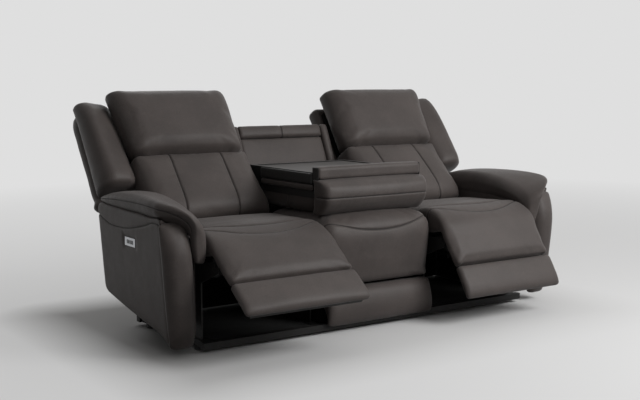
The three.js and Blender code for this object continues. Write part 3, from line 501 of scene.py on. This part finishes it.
class Pad:
    """A padded strip: a rounded box bent along stations in Y and Z, and as wide as they say.

    Each station is (outer y, outer z, inner y, inner z, low x, high x). u runs across in X,
    s along the stations and t from the inner to the outer face. far holds the stations at
    high x, where they differ from those at low x. radius is that of the edges along u, s and t,
    crown and side are how far the outer face and the sides swell, and taper is how much
    narrower the inner face is. dent is a bed pressed into the far side: y, z, half its size
    along both, and the x of its floor.
    """

    def __init__(self, name, stations, radius, crown, side, seed, far=None, step=PAD_STEP, seams=(),
                 place=None, wrinkle=PAD_WRINKLE, mirror=False, taper=0, dent=None):
        self.name, self.radius, self.crown, self.side, self.seed = name, radius, crown, side, seed
        self.step, self.seams, self.place, self.wrinkle = step, seams, place, wrinkle
        self.mirror, self.taper, self.dent = mirror, taper, dent
        rows = np.array(stations, float)
        self.rows, self.far = rows, rows if far is None else np.array(far, float)
        ends = np.linalg.norm(np.diff(rows[:, :2], axis=0), axis=1)
        self.places = np.concatenate(([0], np.cumsum(ends)))
        width = np.max(rows[:, 5] - rows[:, 4])
        thick = np.mean(np.linalg.norm(rows[:, :2] - rows[:, 2:4], axis=1))
        self.full = np.array((width, self.places[-1], thick))

    def lines(self, step, with_seams):
        """Grid lines across, along and through the pad."""
        steps = (step, step, min(step, self.full[2] / PAD_LAYERS))
        seams = self.seams if with_seams else ()
        return [
            grid_lines(size, steps[k], [m.at * size for m in seams if m.axis == k])
            for k, size in enumerate(self.full)
        ]

    def bowed(self, points):
        """The points with grid lines moved so that each bowed seam lies on its own line."""
        moved = points.copy()
        for m in self.seams:
            if m.bow:
                moved[:, m.axis] += m.bend(points, self.full)
        return moved

    def rounded(self, points):
        """Box points drawn onto a rounded box."""
        full = self.full
        radius = np.minimum(np.array(self.radius, float), full * MOST_RADIUS)
        core = np.clip(points, radius, full - radius)
        away = (points - core) / radius
        size = np.linalg.norm(away, axis=1)
        peak = np.max(np.abs(away), axis=1)
        scale = np.where(size > TINY, peak / np.maximum(size, TINY), 0.0)
        return core + away * scale[:, None] * radius

    def mapped(self, points):
        """Strip coordinates turned into millimetres in the pad's own frame."""
        share_u, share_s, share_t = (points / self.full).T
        at = np.clip(points[:, 1], 0, self.full[1])
        row = eased(self.rows, self.places, at)
        row += (eased(self.far, self.places, at) - row) * share_u[:, None]
        outer, inner = row[:, :2], row[:, 2:4]
        lift = outer - inner
        size = np.maximum(np.linalg.norm(lift, axis=1), TINY)[:, None]
        hump = np.sin(np.pi * np.clip(share_u, 0, 1)) ** CROWN_POWER
        ends = np.minimum(1, np.sin(np.pi * np.clip(share_s, 0, 1)) * END_RISE) ** CROWN_POWER
        crown = (self.crown * hump * ends * share_t)[:, None]
        flat = inner + lift * share_t[:, None] + lift / size * crown
        belly = self.side * (2 * share_u - 1) * np.abs(2 * share_u - 1) ** SIDE_POWER
        belly *= np.sin(np.pi * np.clip(share_t, 0, 1)) * ends
        x = row[:, 4] + (row[:, 5] - row[:, 4]) * share_u + belly - self.taper * share_u * (1 - share_t)
        return np.column_stack((x, flat))

    def seam_fields(self):
        """Distance to the nearest seam, place along it, and how deep it is there."""
        near, along, depth = (np.full(len(self.strip), start) for start in (NO_SEAM, 0.0, 0.0))
        for m in self.seams:
            gap, run = m.distance(self.strip, self.full)
            closer = gap < near
            near = np.where(closer, gap, near)
            along = np.where(closer, run, along)
            depth = np.where(closer, m.depth, depth)
        return near, along, depth

    def shape(self, step, with_seams):
        """The pad's points in their place, without seams or wrinkles, and its quads."""
        self.strip, quads = box_lattice(*self.lines(step, with_seams))
        points = self.mapped(self.rounded(self.bowed(self.strip)))
        if self.place:
            points[:, 1:] = np.column_stack(self.place(points[:, 1], points[:, 2]))
        if self.dent:
            y, z, half_y, half_z, floor = self.dent
            beside = np.maximum(np.abs(points[:, 1] - y) - half_y, np.abs(points[:, 2] - z) - half_z)
            press = np.clip(1 - beside / DENT_FADE, 0, 1) ** 2
            points[:, 0] -= np.maximum(points[:, 0] - floor, 0) * press
        if self.mirror:
            points[:, 0] *= -1
        outward = np.einsum("ij,ij->i", points - points.mean(0), normals_of(points, quads))
        return points, quads if outward.sum() > 0 else quads[:, ::-1]

    def finish(self, swell):
        """Makes the Blender object, with the simulated swelling if there is one."""
        points, quads = self.shape(self.step, True)
        if swell is not None:
            points = points + swell(points)
        normals = normals_of(points, quads)
        near, along, depth = self.seam_fields()
        groove = -depth * np.exp(-((near / GROOVE_HALF) ** 2))
        folds = np.column_stack((along / GATHER_LENGTH, near / GATHER_WIDTH, np.zeros(len(near))))
        gathers = GATHER_HEIGHT * rippled(folds, 1.0, self.seed) * np.exp(-near / GATHER_FADE)
        gathers *= np.minimum(near / GATHER_FULL, 1) * (depth > 0)
        fine = FINE_SHARE * rippled(points, FINE_WRINKLE, self.seed + FINE_SEED)
        soft = self.wrinkle * (rippled(points, BROAD_WRINKLE, self.seed) + fine)
        risen = np.clip(self.strip[:, 2] / self.full[2] * SKIN_RISE, 0, 1)
        made = mesh_piece(self.name, points + normals * ((groove + gathers + soft) * risen)[:, None], quads)
        for key, values in (("seam", near), ("along", along)):
            attribute = made.data.attributes.new(key, "FLOAT", "POINT")
            attribute.data.foreach_set("value", values.astype(np.float32))
        return made


PADS = []


def pad(name, body, nodes, stations, fill=PAD_FILL, billow=False, blend=None, slot="leather", **settings):
    """Notes a padded piece, to be made once all of them are known.

    billow asks for the cloth simulation. blend is (body, body, start, end) for a piece that crosses
    a joint; only whether it is given is read, and such a piece is baked in place on no body.
    """
    job = {"body": body, "nodes": nodes, "fill": fill, "billow": billow, "blend": blend, "slot": slot}
    PADS.append((Pad(name, stations, **settings), job))


def leaned(origin_y, origin_z, degrees):
    """Turns (forward, up) in a leaned frame into places in Y and Z."""
    sin, cos = math.sin(math.radians(degrees)), math.cos(math.radians(degrees))
    return lambda forward, up: (
        origin_y + sin * up - cos * forward, origin_z + cos * up + sin * forward
    )


def upright(rows, rear, low, high):
    """Stations of a pad that stands in its frame, from rows of (forward, up)."""
    return [(forward, up, rear, up, low, high) for forward, up in rows]


# Recliners. Each pad is given for the right-hand seat and mirrored for the left one

SEAT_WIDTH = (297, 872)
# Shares of the skin's length at which its two curved seams run
SEAT_SEAMS = (0.52, 0.62)
# Outer line of the seat's cover, from under the back to the footrest, and the line below it
SEAT_TOPS = {
    "left": [(92, 484), (0, 487), (-115, 487), (-194, 491), (-262, 489), (-325, 467), (-378, 434)],
    "right": [(92, 480), (0, 484), (-110, 488), (-208, 495), (-262, 501), (-322, 490), (-376, 458)],
}
SEAT_UNDERS = [(92, 387), (0, 387), (-115, 387), (-194, 387), (-262, 388), (-315, 396), (-356, 404)]
# Footrest: distance from the hinge's plane to the cover and to the board, and place along it
LEGREST_ROWS = [(71, 31, 26), (72, 31, 60), (72, 31, 95), (72, 31, 125), (70, 31, 151)]
END_PAD_ROWS = [(66, 31, 155), (68, 31, 185), (67, 31, 225), (65, 31, 265), (58, 31, 294), (53, 31, 307)]
END_PAD_WIDTH = (296, 876)
# Where the skin starts to leave the seat's body, in Y and Z, and where on the footrest it ends
BLEND_START, BLEND_END = (-290, 480), (70, 12)
FOOT_HINGE = (-353, 363)
# How far each footrest is open in the photograph
OPENINGS = {"left": 54, "right": 33}

BACK = leaned(292.7, 415.3, 33)
LUMBAR_ROWS = [
    (186, -30, 60, -40), (199, 14, 60, 8), (197, 66, 13, 56), (187, 118, 13, 118), (175, 170, 13, 170),
    (162, 225, 13, 225), (151, 275, 13, 275), (143, 319, 13, 319),
]
LUMBAR_WIDTH = (297, 866)
LUMBAR_SEAMS = (0.27, 0.73)
HEADREST_ROWS = [
    (152, 321), (164, 350), (166, 400), (167, 455), (166, 520), (163, 584), (152, 634), (128, 671),
]
# The headrest's rear face, its low x, and its high x at the foot with its growth upwards
HEADREST_REAR, HEADREST_LOW, HEADREST_HIGH, HEADREST_FLARE = 13, 305, 874, 0.11
# The wing's front beside the back and at its outer edge, at these heights
WING_HEIGHTS = (186, 221, 290, 360, 440, 503, 557, 612, 652)
WING_INNER = (118, 126, 109, 93, 78, 65, 52, 38, 24)
WING_OUTER = (132, 146, 148, 146, 142, 136, 124, 102, 72)
WING_REAR, WING_WIDTH = -34, (860, 1036)
# Back cover: (how far back, height, high x)
SHELL_ROWS = [
    (-72, 62, 868), (-74, 102, 872), (-75, 124, 942), (-76, 146, 1008), (-78, 200, 1018),
    (-82, 325, 1020), (-90, 511, 1022), (-97, 600, 1018), (-98, 640, 1006),
]
SHELL_FRONT, SHELL_LOW = -11, 298

PAD_ROWS = [
    (341, 580, 338, 566, 912, 1020), (300, 592, 300, 568, 886, 1048), (245, 600, 245, 567, 881, 1059),
    (168, 613, 168, 566, 881, 1065), (17, 624, 17, 564, 881, 1067), (-126, 629, -126, 562, 881, 1068),
    (-230, 627, -230, 558, 881, 1068), (-292, 620, -280, 552, 881, 1058), (-340, 604, -296, 542, 881, 1024),
    (-368, 576, -308, 524, 881, 982), (-374, 540, -318, 498, 881, 958), (-360, 500, -320, 468, 882, 948),
    (-352, 455, -320, 435, 883, 944), (-346, 415, -318, 405, 884, 936), (-340, 378, -316, 376, 885, 928),
]
# Outer and inner line of the pad's edge by the seat, which falls away towards the front
PAD_EDGE = [
    (341, 570, 338, 534), (300, 586, 300, 506), (245, 596, 245, 492), (168, 607, 168, 486),
    (17, 610, 17, 486), (-112, 592, -112, 486), (-205, 568, -200, 480), (-262, 548, -246, 468),
    (-300, 528, -262, 452), (-324, 504, -276, 438), (-334, 478, -288, 425), (-338, 452, -296, 412),
    (-338, 425, -300, 400), (-334, 398, -302, 386), (-326, 372, -304, 370),
]
BOLSTER_ROWS = [
    (-316, 38, -284, 38, 930, 1027), (-331, 100, -284, 100, 931, 1034), (-338, 190, -284, 190, 932, 1044),
    (-343, 276, -284, 276, 936, 1052), (-347, 352, -284, 352, 940, 1058), (-345, 426, -284, 426, 946, 1063),
    (-328, 489, -284, 489, 954, 1066), (-304, 540, -284, 540, 964, 1067),
]
ARM_BOX_ROWS = [
    (-300, 536, -300, 44), (-288, 543, -288, 50), (-245, 554, -245, 75), (-156, 560, -156, 93),
    (34, 563, 34, 123), (216, 566, 216, 156), (296, 567, 296, 172), (325, 562, 325, 178),
]
ARM_BOX_WIDTH = (881, 1062)
# Beside the seat: how far the panel's front stands back, and the height of its top
ARM_BOX_SETBACK = (56, 50, 26, 8, 0, 0, 0, 0)
ARM_BOX_EDGE = (430, 440, 470, 512, 540, 549, 549, 549)
SWITCH_BED = (9, 430, 51, 19, 1046)


def on_footrest(word, out, along):
    """Y and Z of a place on the open footrest, out from its hinge's plane and along it."""
    turn = math.radians(OPENINGS[word])
    return (
        FOOT_HINGE[0] - out * math.cos(turn) - along * math.sin(turn),
        FOOT_HINGE[1] + out * math.sin(turn) - along * math.cos(turn),
    )


def legrest(word, rows, width):
    """Stations of a pad on the footrest."""
    return [(*on_footrest(word, out, at), *on_footrest(word, board, at), *width) for out, board, at in rows]


for word, side in SIDES:
    flip = side < 0
    odd = 0 if flip else 20
    skin = [(*top, *under, *SEAT_WIDTH) for top, under in zip(SEAT_TOPS[word], SEAT_UNDERS)]
    pad(f"{word}_seat_and_legrest", None, (f"{word}_seat_cushion", f"{word}_footrest_pad"),
        skin + legrest(word, LEGREST_ROWS, SEAT_WIDTH), fill=0.75, billow=True, mirror=flip, seed=3 + odd,
        blend=(f"{word}_seat", f"{word}_footrest", BLEND_START, on_footrest(word, *BLEND_END)),
        radius=(24, 12, 24), crown=10, side=3, seams=[
            Seam("s", SEAT_SEAMS[0], bow=(-50, 0, 12, 0, -60), reach=110, outer=True),
            Seam("s", SEAT_SEAMS[1], bow=(-30, 2, 16, 2, -30), outer=True),
        ])
    pad(f"{word}_legrest_end", f"{word}_footrest", (f"{word}_footrest_end_pad",),
        legrest(word, END_PAD_ROWS, END_PAD_WIDTH), mirror=flip, seed=4 + odd,
        radius=(20, 13, 16), crown=7, side=2)
    pad(f"{word}_lumbar", f"{word}_back", (f"{word}_lumbar_cushion",),
        [(*row, *LUMBAR_WIDTH) for row in LUMBAR_ROWS], place=BACK, mirror=flip, seed=5 + odd, billow=True,
        radius=(28, 14, 30), crown=14, side=5,
        seams=[Seam("u", share, bow=(14, 4, -8), depth=5) for share in LUMBAR_SEAMS])
    pad(f"{word}_headrest_pad", f"{word}_headrest", (f"{word}_headrest_cushion",),
        [(out, up, HEADREST_REAR, up, HEADREST_LOW,
          HEADREST_HIGH + HEADREST_FLARE * (up - HEADREST_ROWS[0][1])) for out, up in HEADREST_ROWS],
        place=BACK, mirror=flip, seed=6 + odd, billow=True, taper=30,
        radius=(66, 22, 60), crown=14, side=6)
    wing_low, wing_high = (
        upright(zip(fronts, WING_HEIGHTS), WING_REAR, *WING_WIDTH) for fronts in (WING_INNER, WING_OUTER)
    )
    pad(f"{word}_wing", f"{word}_back", (f"{word}_wing_pad",), wing_low, far=wing_high, place=BACK,
        mirror=flip, seed=7 + odd, radius=(60, 16, 64), crown=5, side=3)
    pad(f"{word}_back_cover", f"{word}_back", (f"{word}_back_shell",),
        [(out, up, SHELL_FRONT, up, SHELL_LOW, high) for out, up, high in SHELL_ROWS],
        place=BACK, mirror=flip, seed=8 + odd, radius=(26, 22, 30), crown=5, side=2)
    pad(f"{word}_arm_top", "base", (f"{word}_arm_pad",),
        [(*edge, *row[4:]) for edge, row in zip(PAD_EDGE, PAD_ROWS)], far=PAD_ROWS, mirror=flip,
        seed=9 + odd, radius=(34, 16, 30), crown=12, side=3, seams=[Seam("t", at=0.58, depth=3, far=True)])
    pad(f"{word}_arm_front", "base", (f"{word}_arm_bolster",), BOLSTER_ROWS, mirror=flip, seed=10 + odd,
        radius=(42, 14, 34), crown=14, side=5)
    pad(f"{word}_arm_panel", "base", (f"{word}_arm_box",),
        [(row[0] + back, top, row[2] + back, row[3], *ARM_BOX_WIDTH)
         for row, top, back in zip(ARM_BOX_ROWS, ARM_BOX_EDGE, ARM_BOX_SETBACK)],
        far=[(*row, *ARM_BOX_WIDTH) for row in ARM_BOX_ROWS],
        mirror=flip, seed=11 + odd, radius=(12, 30, 34), crown=0, side=0, taper=30,
        seams=[Seam("t", at=0.86, bow=(60, 21, -5, -20, -22, 5), far=True)], dent=SWITCH_BED)

# Middle seat and middle back

MIDDLE_ROWS = [
    (176, 486, 176, 400), (0, 490, 0, 400), (-150, 493, -150, 400), (-236, 490, -220, 400),
    (-280, 480, -240, 400), (-306, 456, -254, 396), (-314, 420, -255, 384), (-312, 387, -255, 370),
    (-306, 340, -255, 340), (-300, 293, -255, 293), (-294, 235, -255, 235), (-299, 196, -255, 196),
]
KICK_ROWS = [
    (-302, 190, -256, 190), (-322, 157, -257, 157), (-334, 112, -275, 112), (-333, 74, -303, 74),
    (-322, 33, -303, 36),
]
# Half widths of the pieces that lie across the middle
MIDDLE_HALF, KICK_HALF, RECESS_HALF, REAR_HALF, LIP_HALF, ROLL_HALF, UNDER_HALF = (
    290, 288, 240, 284, 281, 284, 261
)


def across(rows, half):
    """Stations of a pad that lies across the middle."""
    return [(*row, -half, half) for row in rows]


pad("middle_seat_skin", "base", ("middle_seat_cushion", "middle_front_pad"),
    across(MIDDLE_ROWS, MIDDLE_HALF), seed=41, billow=True, radius=(44, 14, 36), crown=20, side=2,
    seams=[Seam("s", at=0.692, bow=(-62, -14, 0, -14, -62), outer=True)])
pad("middle_kick_skin", "base", ("middle_kick_pad",), across(KICK_ROWS, KICK_HALF),
    seed=42, radius=(34, 12, 14), crown=8, side=2)

MIDDLE_LEAN = leaned(430, 681, 23.8)
MIDDLE_BOARD = -39
CHEEK_WIDTH = (241, 284)
CHEEK_ROWS = ((-4, -66), (0, 0), (1, 70), (1, 140), (-2, 204))
RECESS_ROWS = ((-14, -66), (-12, 0), (-12, 70), (-14, 139))
HEADER_ROWS = ((-6, 141), (-2, 160), (-2, 186), (-8, 206))
# Rear cover: its outer and inner plane in the leaned frame with its heights there, and then
# upright behind the seat box in Y with its heights above the floor
REAR_PLANES, REAR_HEIGHTS = (-103, -59), (205, 120, 20, -90, -190, -262)
REAR_DROP = [(415, 330, 371, 330), (415, 240, 371, 240), (415, 150, 371, 150), (414, 62, 371, 62)]

for word, side in SIDES:
    pad(f"{word}_cheek", "base", (f"{word}_recess_cheek",), upright(CHEEK_ROWS, MIDDLE_BOARD, *CHEEK_WIDTH),
        place=MIDDLE_LEAN, mirror=side < 0, seed=43 + side, radius=(14, 12, 14), crown=4, side=1, step=7)
pad("recess_skin", "base", ("recess_panel",), upright(RECESS_ROWS, MIDDLE_BOARD, -RECESS_HALF, RECESS_HALF),
    place=MIDDLE_LEAN, seed=46, radius=(8, 8, 10), crown=3, side=0)
pad("recess_header", "base", (), upright(HEADER_ROWS, MIDDLE_BOARD, -RECESS_HALF, RECESS_HALF),
    place=MIDDLE_LEAN, seed=47, radius=(10, 12, 12), crown=3, side=0, seams=[Seam("u", at=0.5, depth=3)])
rear_rows = [(*MIDDLE_LEAN(REAR_PLANES[0], up), *MIDDLE_LEAN(REAR_PLANES[1], up)) for up in REAR_HEIGHTS]
pad("middle_rear_cover", "base", ("middle_back_cover",), across(rear_rows + REAR_DROP, REAR_HALF),
    seed=48, radius=(16, 16, 16), crown=4, side=1)

# Console, folded down

# Trims along the console's sides: places in Y, top, bottom, low x, high x, seed and settings. The trim band
# and the lip's end caps are black plastic, which paints the shade on the console's sides
FRAME_RUN, LIP_RUN = (-186, -60, 90, 236), (-188, -203, -218, -234)
TRIMS = {
    "console_shade_band": (FRAME_RUN, 687, 638, 277, 286, 54,
                     {"radius": (4, 6, 6), "step": 8, "wrinkle": 0.3, "slot": "black_plastic"}),
    "console_welt": (FRAME_RUN, 637, 610, 270, 284, 60, {"radius": (6, 6, 10), "step": 8, "wrinkle": 0.3}),
    "lip_shade_cap": (LIP_RUN, 714, 644, 279, 283, 57,
                {"radius": (2, 4, 4), "step": 6, "wrinkle": 0.1, "slot": "black_plastic"}),
}
LIP_ROWS = [(-189, 714, -189, 662), (-205, 717, -205, 662), (-222, 716, -222, 662), (-239, 713, -239, 662)]
ROLL_ROWS = [
    (-238, 660, -189, 660), (-272, 651, -189, 652), (-291, 634, -189, 634), (-297, 611, -189, 612),
    (-297, 584, -189, 584), (-289, 562, -189, 562), (-272, 540, -189, 540), (-234, 506, -189, 508),
]
UNDER_ROWS = [
    (-187, 520, -187, 622), (-120, 512, -120, 622), (0, 510, 0, 622), (120, 510, 120, 622),
    (240, 512, 240, 622), (344, 520, 344, 622),
]
UNDER_SEAM = 0.42

for word, side in SIDES:
    for trim, (run, top, bottom, low, high, seed, settings) in TRIMS.items():
        pad(f"{word}_{trim}", "console", (), [(y, top, y, bottom, low, high) for y in run],
            mirror=side < 0, seed=seed + side, crown=0, side=0, **settings)
pad("console_lip_roll", "console", ("console_lip",), across(LIP_ROWS, LIP_HALF),
    seed=51, radius=(10, 12, 12), crown=2, side=1, step=6)
pad("console_pillow", "console", ("console_roll",), across(ROLL_ROWS, ROLL_HALF),
    seed=52, billow=True, radius=(24, 8, 22), crown=10, side=5, step=7,
    seams=[Seam("s", at=0.52, outer=True)])
pad("console_back_pad", "console", ("console_cushion",), across(UNDER_ROWS, UNDER_HALF),
    seed=53, radius=(30, 30, 34), crown=8, side=3, seams=[
        Seam("s", at=UNDER_SEAM, depth=5, outer=True),
        Seam("u", at=0.5, outer=True, span=(-1, UNDER_SEAM)),
    ])

# Cloth simulation: air pressure swells the main cushions between their seams

SIM_STEP, SIM_FRAMES, SIM_PRESSURE = 13, 20, 3.0
SWELL_LIMIT = 8.0
# The inner face is held, less and less outwards, and so is what lies this near a seam
HELD_FADE, HELD_SEAM = 2.2, 15
# A point of the fine mesh follows this many of the coarse one, the near ones most
SPREAD_COUNT, SPREAD_SOFT = 6, 2.0


def cloth_body(made):
    """A coarse copy of a pad with Cloth on it, held at its seams and its inner face."""
    points, quads = made.shape(SIM_STEP, False)
    body = mesh_piece("swelling", points, quads)
    near = made.seam_fields()[0]
    held = np.maximum(1 - made.strip[:, 2] / made.full[2] * HELD_FADE, 1 - near / HELD_SEAM)
    group = body.vertex_groups.new(name="held")
    for k, share in enumerate(np.clip(held, 0, 1).tolist()):
        group.add([k], share, "REPLACE")
    cloth = body.modifiers.new("swell", "CLOTH")
    settings = cloth.settings
    settings.vertex_group_mass = "held"
    settings.quality, settings.mass = 5, 0.3
    settings.tension_stiffness = settings.compression_stiffness = 15
    settings.shear_stiffness, settings.bending_stiffness = 5, 0.5
    settings.use_pressure, settings.uniform_pressure_force = True, SIM_PRESSURE
    settings.effector_weights.gravity = 0
    cloth.point_cache.frame_start, cloth.point_cache.frame_end = 1, SIM_FRAMES
    return body, points


def swellings(pads):
    """Runs the cloth of all the given pads together. Gives each one's movement, as a function."""
    bodies = [cloth_body(made) for made in pads]
    for step in range(1, SIM_FRAMES + 1):
        bpy.context.scene.frame_set(step)
    graph = bpy.context.evaluated_depsgraph_get()
    moves = {}
    for made, (body, start) in zip(pads, bodies):
        swollen = np.empty(len(start) * 3, np.float32)
        body.evaluated_get(graph).data.vertices.foreach_get("co", swollen)
        move = swollen.reshape(-1, 3) / MM - start
        size = np.maximum(np.linalg.norm(move, axis=1), TINY)[:, None]
        moves[made.name] = spread(start, move * np.tanh(size / SWELL_LIMIT) * SWELL_LIMIT / size)
    for body, _ in bodies:
        bpy.data.objects.remove(body)
    bpy.context.scene.frame_set(1)
    return moves


def spread(places, values):
    """A function that blends the values of the nearest places."""
    tree = kdtree.KDTree(len(places))
    for k, place in enumerate(places):
        tree.insert(place, k)
    tree.balance()

    def at(points):
        result = np.zeros_like(points)
        for row, point in enumerate(points):
            near = tree.find_n(point, SPREAD_COUNT)
            weights = np.array([1 / (distance + SPREAD_SOFT) ** 2 for _, _, distance in near])
            result[row] = weights @ values[[k for _, k, _ in near]] / weights.sum()
        return result

    return at


swells = swellings([made for made, job in PADS if job["billow"]])

for made, job in PADS:
    piece = made.finish(swells.get(made.name))
    piece.data.materials.append(FINISHES[job["slot"]])
    if job["blend"]:
        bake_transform(piece)
    else:
        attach(piece, job["body"])
    if job["nodes"]:
        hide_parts(*job["nodes"])

# Black cloths, stretched between the floor rails and between the seat's side plates: dust covers and rear
# cloths, which also stand as dark sheets for the painted shade under and behind the seats

CLOTH_STEP, CLOTH_THICKNESS = 24, 1
# Dust covers lie between the inner faces of the floor rails, just under their tops
COVER_SPANS = {"seat": (339.4, 831.6), "middle": (18.4, 302.6)}
COVER_DEPTH, COVER_LEVEL, COVER_DIP, COVER_ROUND = (-269.6, 299.6), 41, 3, 0.5
COVER_RIPPLE, COVER_RIPPLE_SIZE, COVER_SEED = 0.8, 60.0, 71
# Rear cloths stand between the side plates. The top is less hollow than the foot
REAR_SPAN, REAR_LEVELS, REAR_PLACE, REAR_HOLLOW, REAR_TAUT = (324.4, 846.6), (47, 390), 284, 4, 0.6
REAR_RIPPLE_SIZE, REAR_SEED = 70.0, 73


def widths(side, low, high):
    """Low and high X of a piece given by its distances from the middle."""
    return (low, high) if side > 0 else (-high, -low)


def cloth_grid(first, second):
    """Places on a grid over two spans, and the same as shares of the spans."""
    lines = [np.linspace(*span, int((span[1] - span[0]) / CLOTH_STEP) + 1) for span in (first, second)]
    a, b = np.meshgrid(*lines, indexing="ij")
    return a, b, (a - first[0]) / (first[1] - first[0]), (b - second[0]) / (second[1] - second[0])


def cloth_piece(name, body, points, grid, flat):
    """A thin stretched cloth through a grid of points."""
    made = mesh_piece(name, points, grid_quads(np.arange(len(points)).reshape(grid)))
    made.data.materials.append(FINISHES["lining"])
    made.modifiers.new("cloth", "SOLIDIFY").thickness = CLOTH_THICKNESS * MM
    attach(made, body)
    flat = tuple((high - low) * MM for low, high in flat)


def shade_dust_cover(name, span):
    """A flat cloth that dips a little between its edges, with small gathers along them."""
    x, y, u, v = cloth_grid(span, COVER_DEPTH)
    dip = COVER_DIP * (np.sin(np.pi * u) * np.sin(np.pi * v)) ** COVER_ROUND
    points = np.column_stack((x.ravel(), y.ravel(), (COVER_LEVEL - dip).ravel()))
    points[:, 2] += COVER_RIPPLE * rippled(points, COVER_RIPPLE_SIZE, COVER_SEED) * (dip.ravel() > 0)
    cloth_piece(name, "base", points, x.shape, (span, COVER_DEPTH))


def rear_shade_cloth(name, body, span):
    """An upright cloth, hollow in its middle."""
    x, z, u, v = cloth_grid(span, REAR_LEVELS)
    y = REAR_PLACE - REAR_HOLLOW * np.sin(np.pi * u) * (1 - REAR_TAUT * v)
    points = np.column_stack((x.ravel(), y.ravel(), z.ravel()))
    points[:, 1] += rippled(points, REAR_RIPPLE_SIZE, REAR_SEED) * np.sin(np.pi * u.ravel())
    cloth_piece(name, body, points, x.shape, (span, REAR_LEVELS))


# Dark sheets that paint the shade under and behind the seats
for word, side in SIDES:
    for bay, span in COVER_SPANS.items():
        shade_dust_cover(f"{word}_{bay}_shade_dust_cover", widths(side, *span))
    rear_shade_cloth(f"{word}_rear_shade_cloth", f"{word}_seat", widths(side, *REAR_SPAN))

# Rigid pieces get soft edges

EDGE_SEGMENTS, EDGE_ANGLE = 2, 40
EDGE_WIDTHS = {
    "console_tray": 3.0, "power_supply": 2.0, "middle_seat_box": 1.0, "middle_back_board": 1.0,
    "console_frame": 0.8, "left_console_bracket": 0.8, "right_console_bracket": 0.8, "floor_frame": 1.5,
}
SIDE_EDGE_WIDTHS = {
    "switch_plate": 1.0, "open_button": 1.0, "close_button": 1.0, "seat_deck": 1.0, "back_board": 1.0,
    "inner_side_plate": 0.8, "outer_side_plate": 0.8, "footrest_board": 0.8, "drive_nut": 1.0,
}
for word, _ in SIDES:
    EDGE_WIDTHS.update({f"{word}_{node}": width for node, width in SIDE_EDGE_WIDTHS.items()})
for name, width in EDGE_WIDTHS.items():
    bevel = frame["nodes"][name].modifiers.new("edges", "BEVEL")
    bevel.width, bevel.segments = width * MM, EDGE_SEGMENTS
    bevel.limit_method, bevel.angle_limit = "ANGLE", math.radians(EDGE_ANGLE)

# Floor, backdrop and light, in metres and watts

BACKDROP = rgb(0.738, 0.738, 0.738)
# The floor as the camera and reflections see it, and as it throws light back on the object
FLOOR_SEEN, FLOOR_BOUNCE = rgb(0.64, 0.64, 0.64), rgb(0.15, 0.15, 0.15)
FLOOR_RADIUS, FLOOR_CORNERS = 60, 96
# The floor's share of backdrop: distance from the object's box, and the share there
FADE_NEAR, FADE_FAR = (0.35, 0.55), (6.0, 1.0)
# Colour of the light dome, and its strength on the left and on the right
DOME_COLOUR, DOME_STRENGTH = rgb(1.0, 0.985, 0.965), (0.0, 0.60)
# Name, place, what it is aimed at, diameter and power
LAMPS = (
    ("key", (1.6, -2.8, 2.25), (0.3, 0, 0.4), 2.0, 102),
    ("top", (0.9, -0.4, 4.2), (0.3, 0, 0.4), 2.6, 6),
    ("fill", (-1.4, -4.4, 2.6), (-0.2, 0, 0.4), 2.6, 11),
    ("rim", (0.6, 3.8, 2.6), (0, 0.2, 0.6), 2.0, 16),
)


def backdrop_world():
    """A world that looks like the backdrop and lights the object more from the right."""
    world = bpy.data.worlds.new("studio")
    bpy.context.scene.world = world
    n = Nodes(world)
    shown = n.tree.nodes["Background"]
    n.fill(shown, {"Color": BACKDROP, "Strength": 1.0})
    direction = n.add("SeparateXYZ", {0: n.add("TexCoord").outputs["Generated"]})
    dome = n.ramp(direction.outputs["X"], -1.0, 1.0, *DOME_STRENGTH)
    lit = n.add("Background", {"Color": DOME_COLOUR, "Strength": dome})
    either = n.add("MixShader", {0: n.seen(), 1: lit.outputs[0], 2: shown.outputs[0]})
    n.fill(n.tree.nodes["World Output"], {"Surface": either.outputs[0]})


def studio_floor():
    """A wide disc that shows the object's shadow near by and fades into the backdrop."""
    n = Nodes(bpy.data.materials.new("studio_floor"))
    seen = n.seen()
    shine = n.add("Emission", {"Color": BACKDROP, "Strength": 1.0})
    plain = n.add("BsdfDiffuse", {"Color": n.mix(seen, FLOOR_BOUNCE, FLOOR_SEEN)})
    low, high = (Vector(corner) for corner in cad_box)
    offset = n.vector("ABSOLUTE", n.vector("SUBTRACT", n.place(), (low + high) / 2))
    outside = n.vector("MAXIMUM", n.vector("SUBTRACT", offset, (high - low) / 2))
    distance = n.vector("LENGTH", outside, output="Value")
    beside = n.ramp(distance, 0.0, FADE_NEAR[0], 0.0, FADE_NEAR[1])
    beyond = n.ramp(distance, FADE_NEAR[0], FADE_FAR[0], 0.0, FADE_FAR[1] - FADE_NEAR[1])
    share = n.math("MULTIPLY", seen, n.math("ADD", beside, beyond))
    blend = n.add("MixShader", {0: share, 1: plain.outputs[0], 2: shine.outputs[0]})
    n.fill(n.tree.nodes["Material Output"], {"Surface": blend.outputs[0]})
    bpy.ops.mesh.primitive_circle_add(
        vertices=FLOOR_CORNERS, radius=FLOOR_RADIUS, fill_type="NGON", location=(0, 0, 0)
    )
    floor = bpy.context.active_object
    floor.name = "studio_floor"
    floor.data.materials.append(n.owner)


def lamp(name, place, target, size, power):
    """A soft round lamp aimed at its target."""
    light = bpy.data.lights.new(name, "AREA")
    light.shape, light.size, light.energy = "DISK", size, power
    made = added(name, light)
    made.location = place
    made.rotation_euler = (Vector(target) - Vector(place)).to_track_quat("-Z", "Y").to_euler()


backdrop_world()
studio_floor()
for row in LAMPS:
    lamp(*row)

bpy.context.scene.view_settings.view_transform = "Standard"
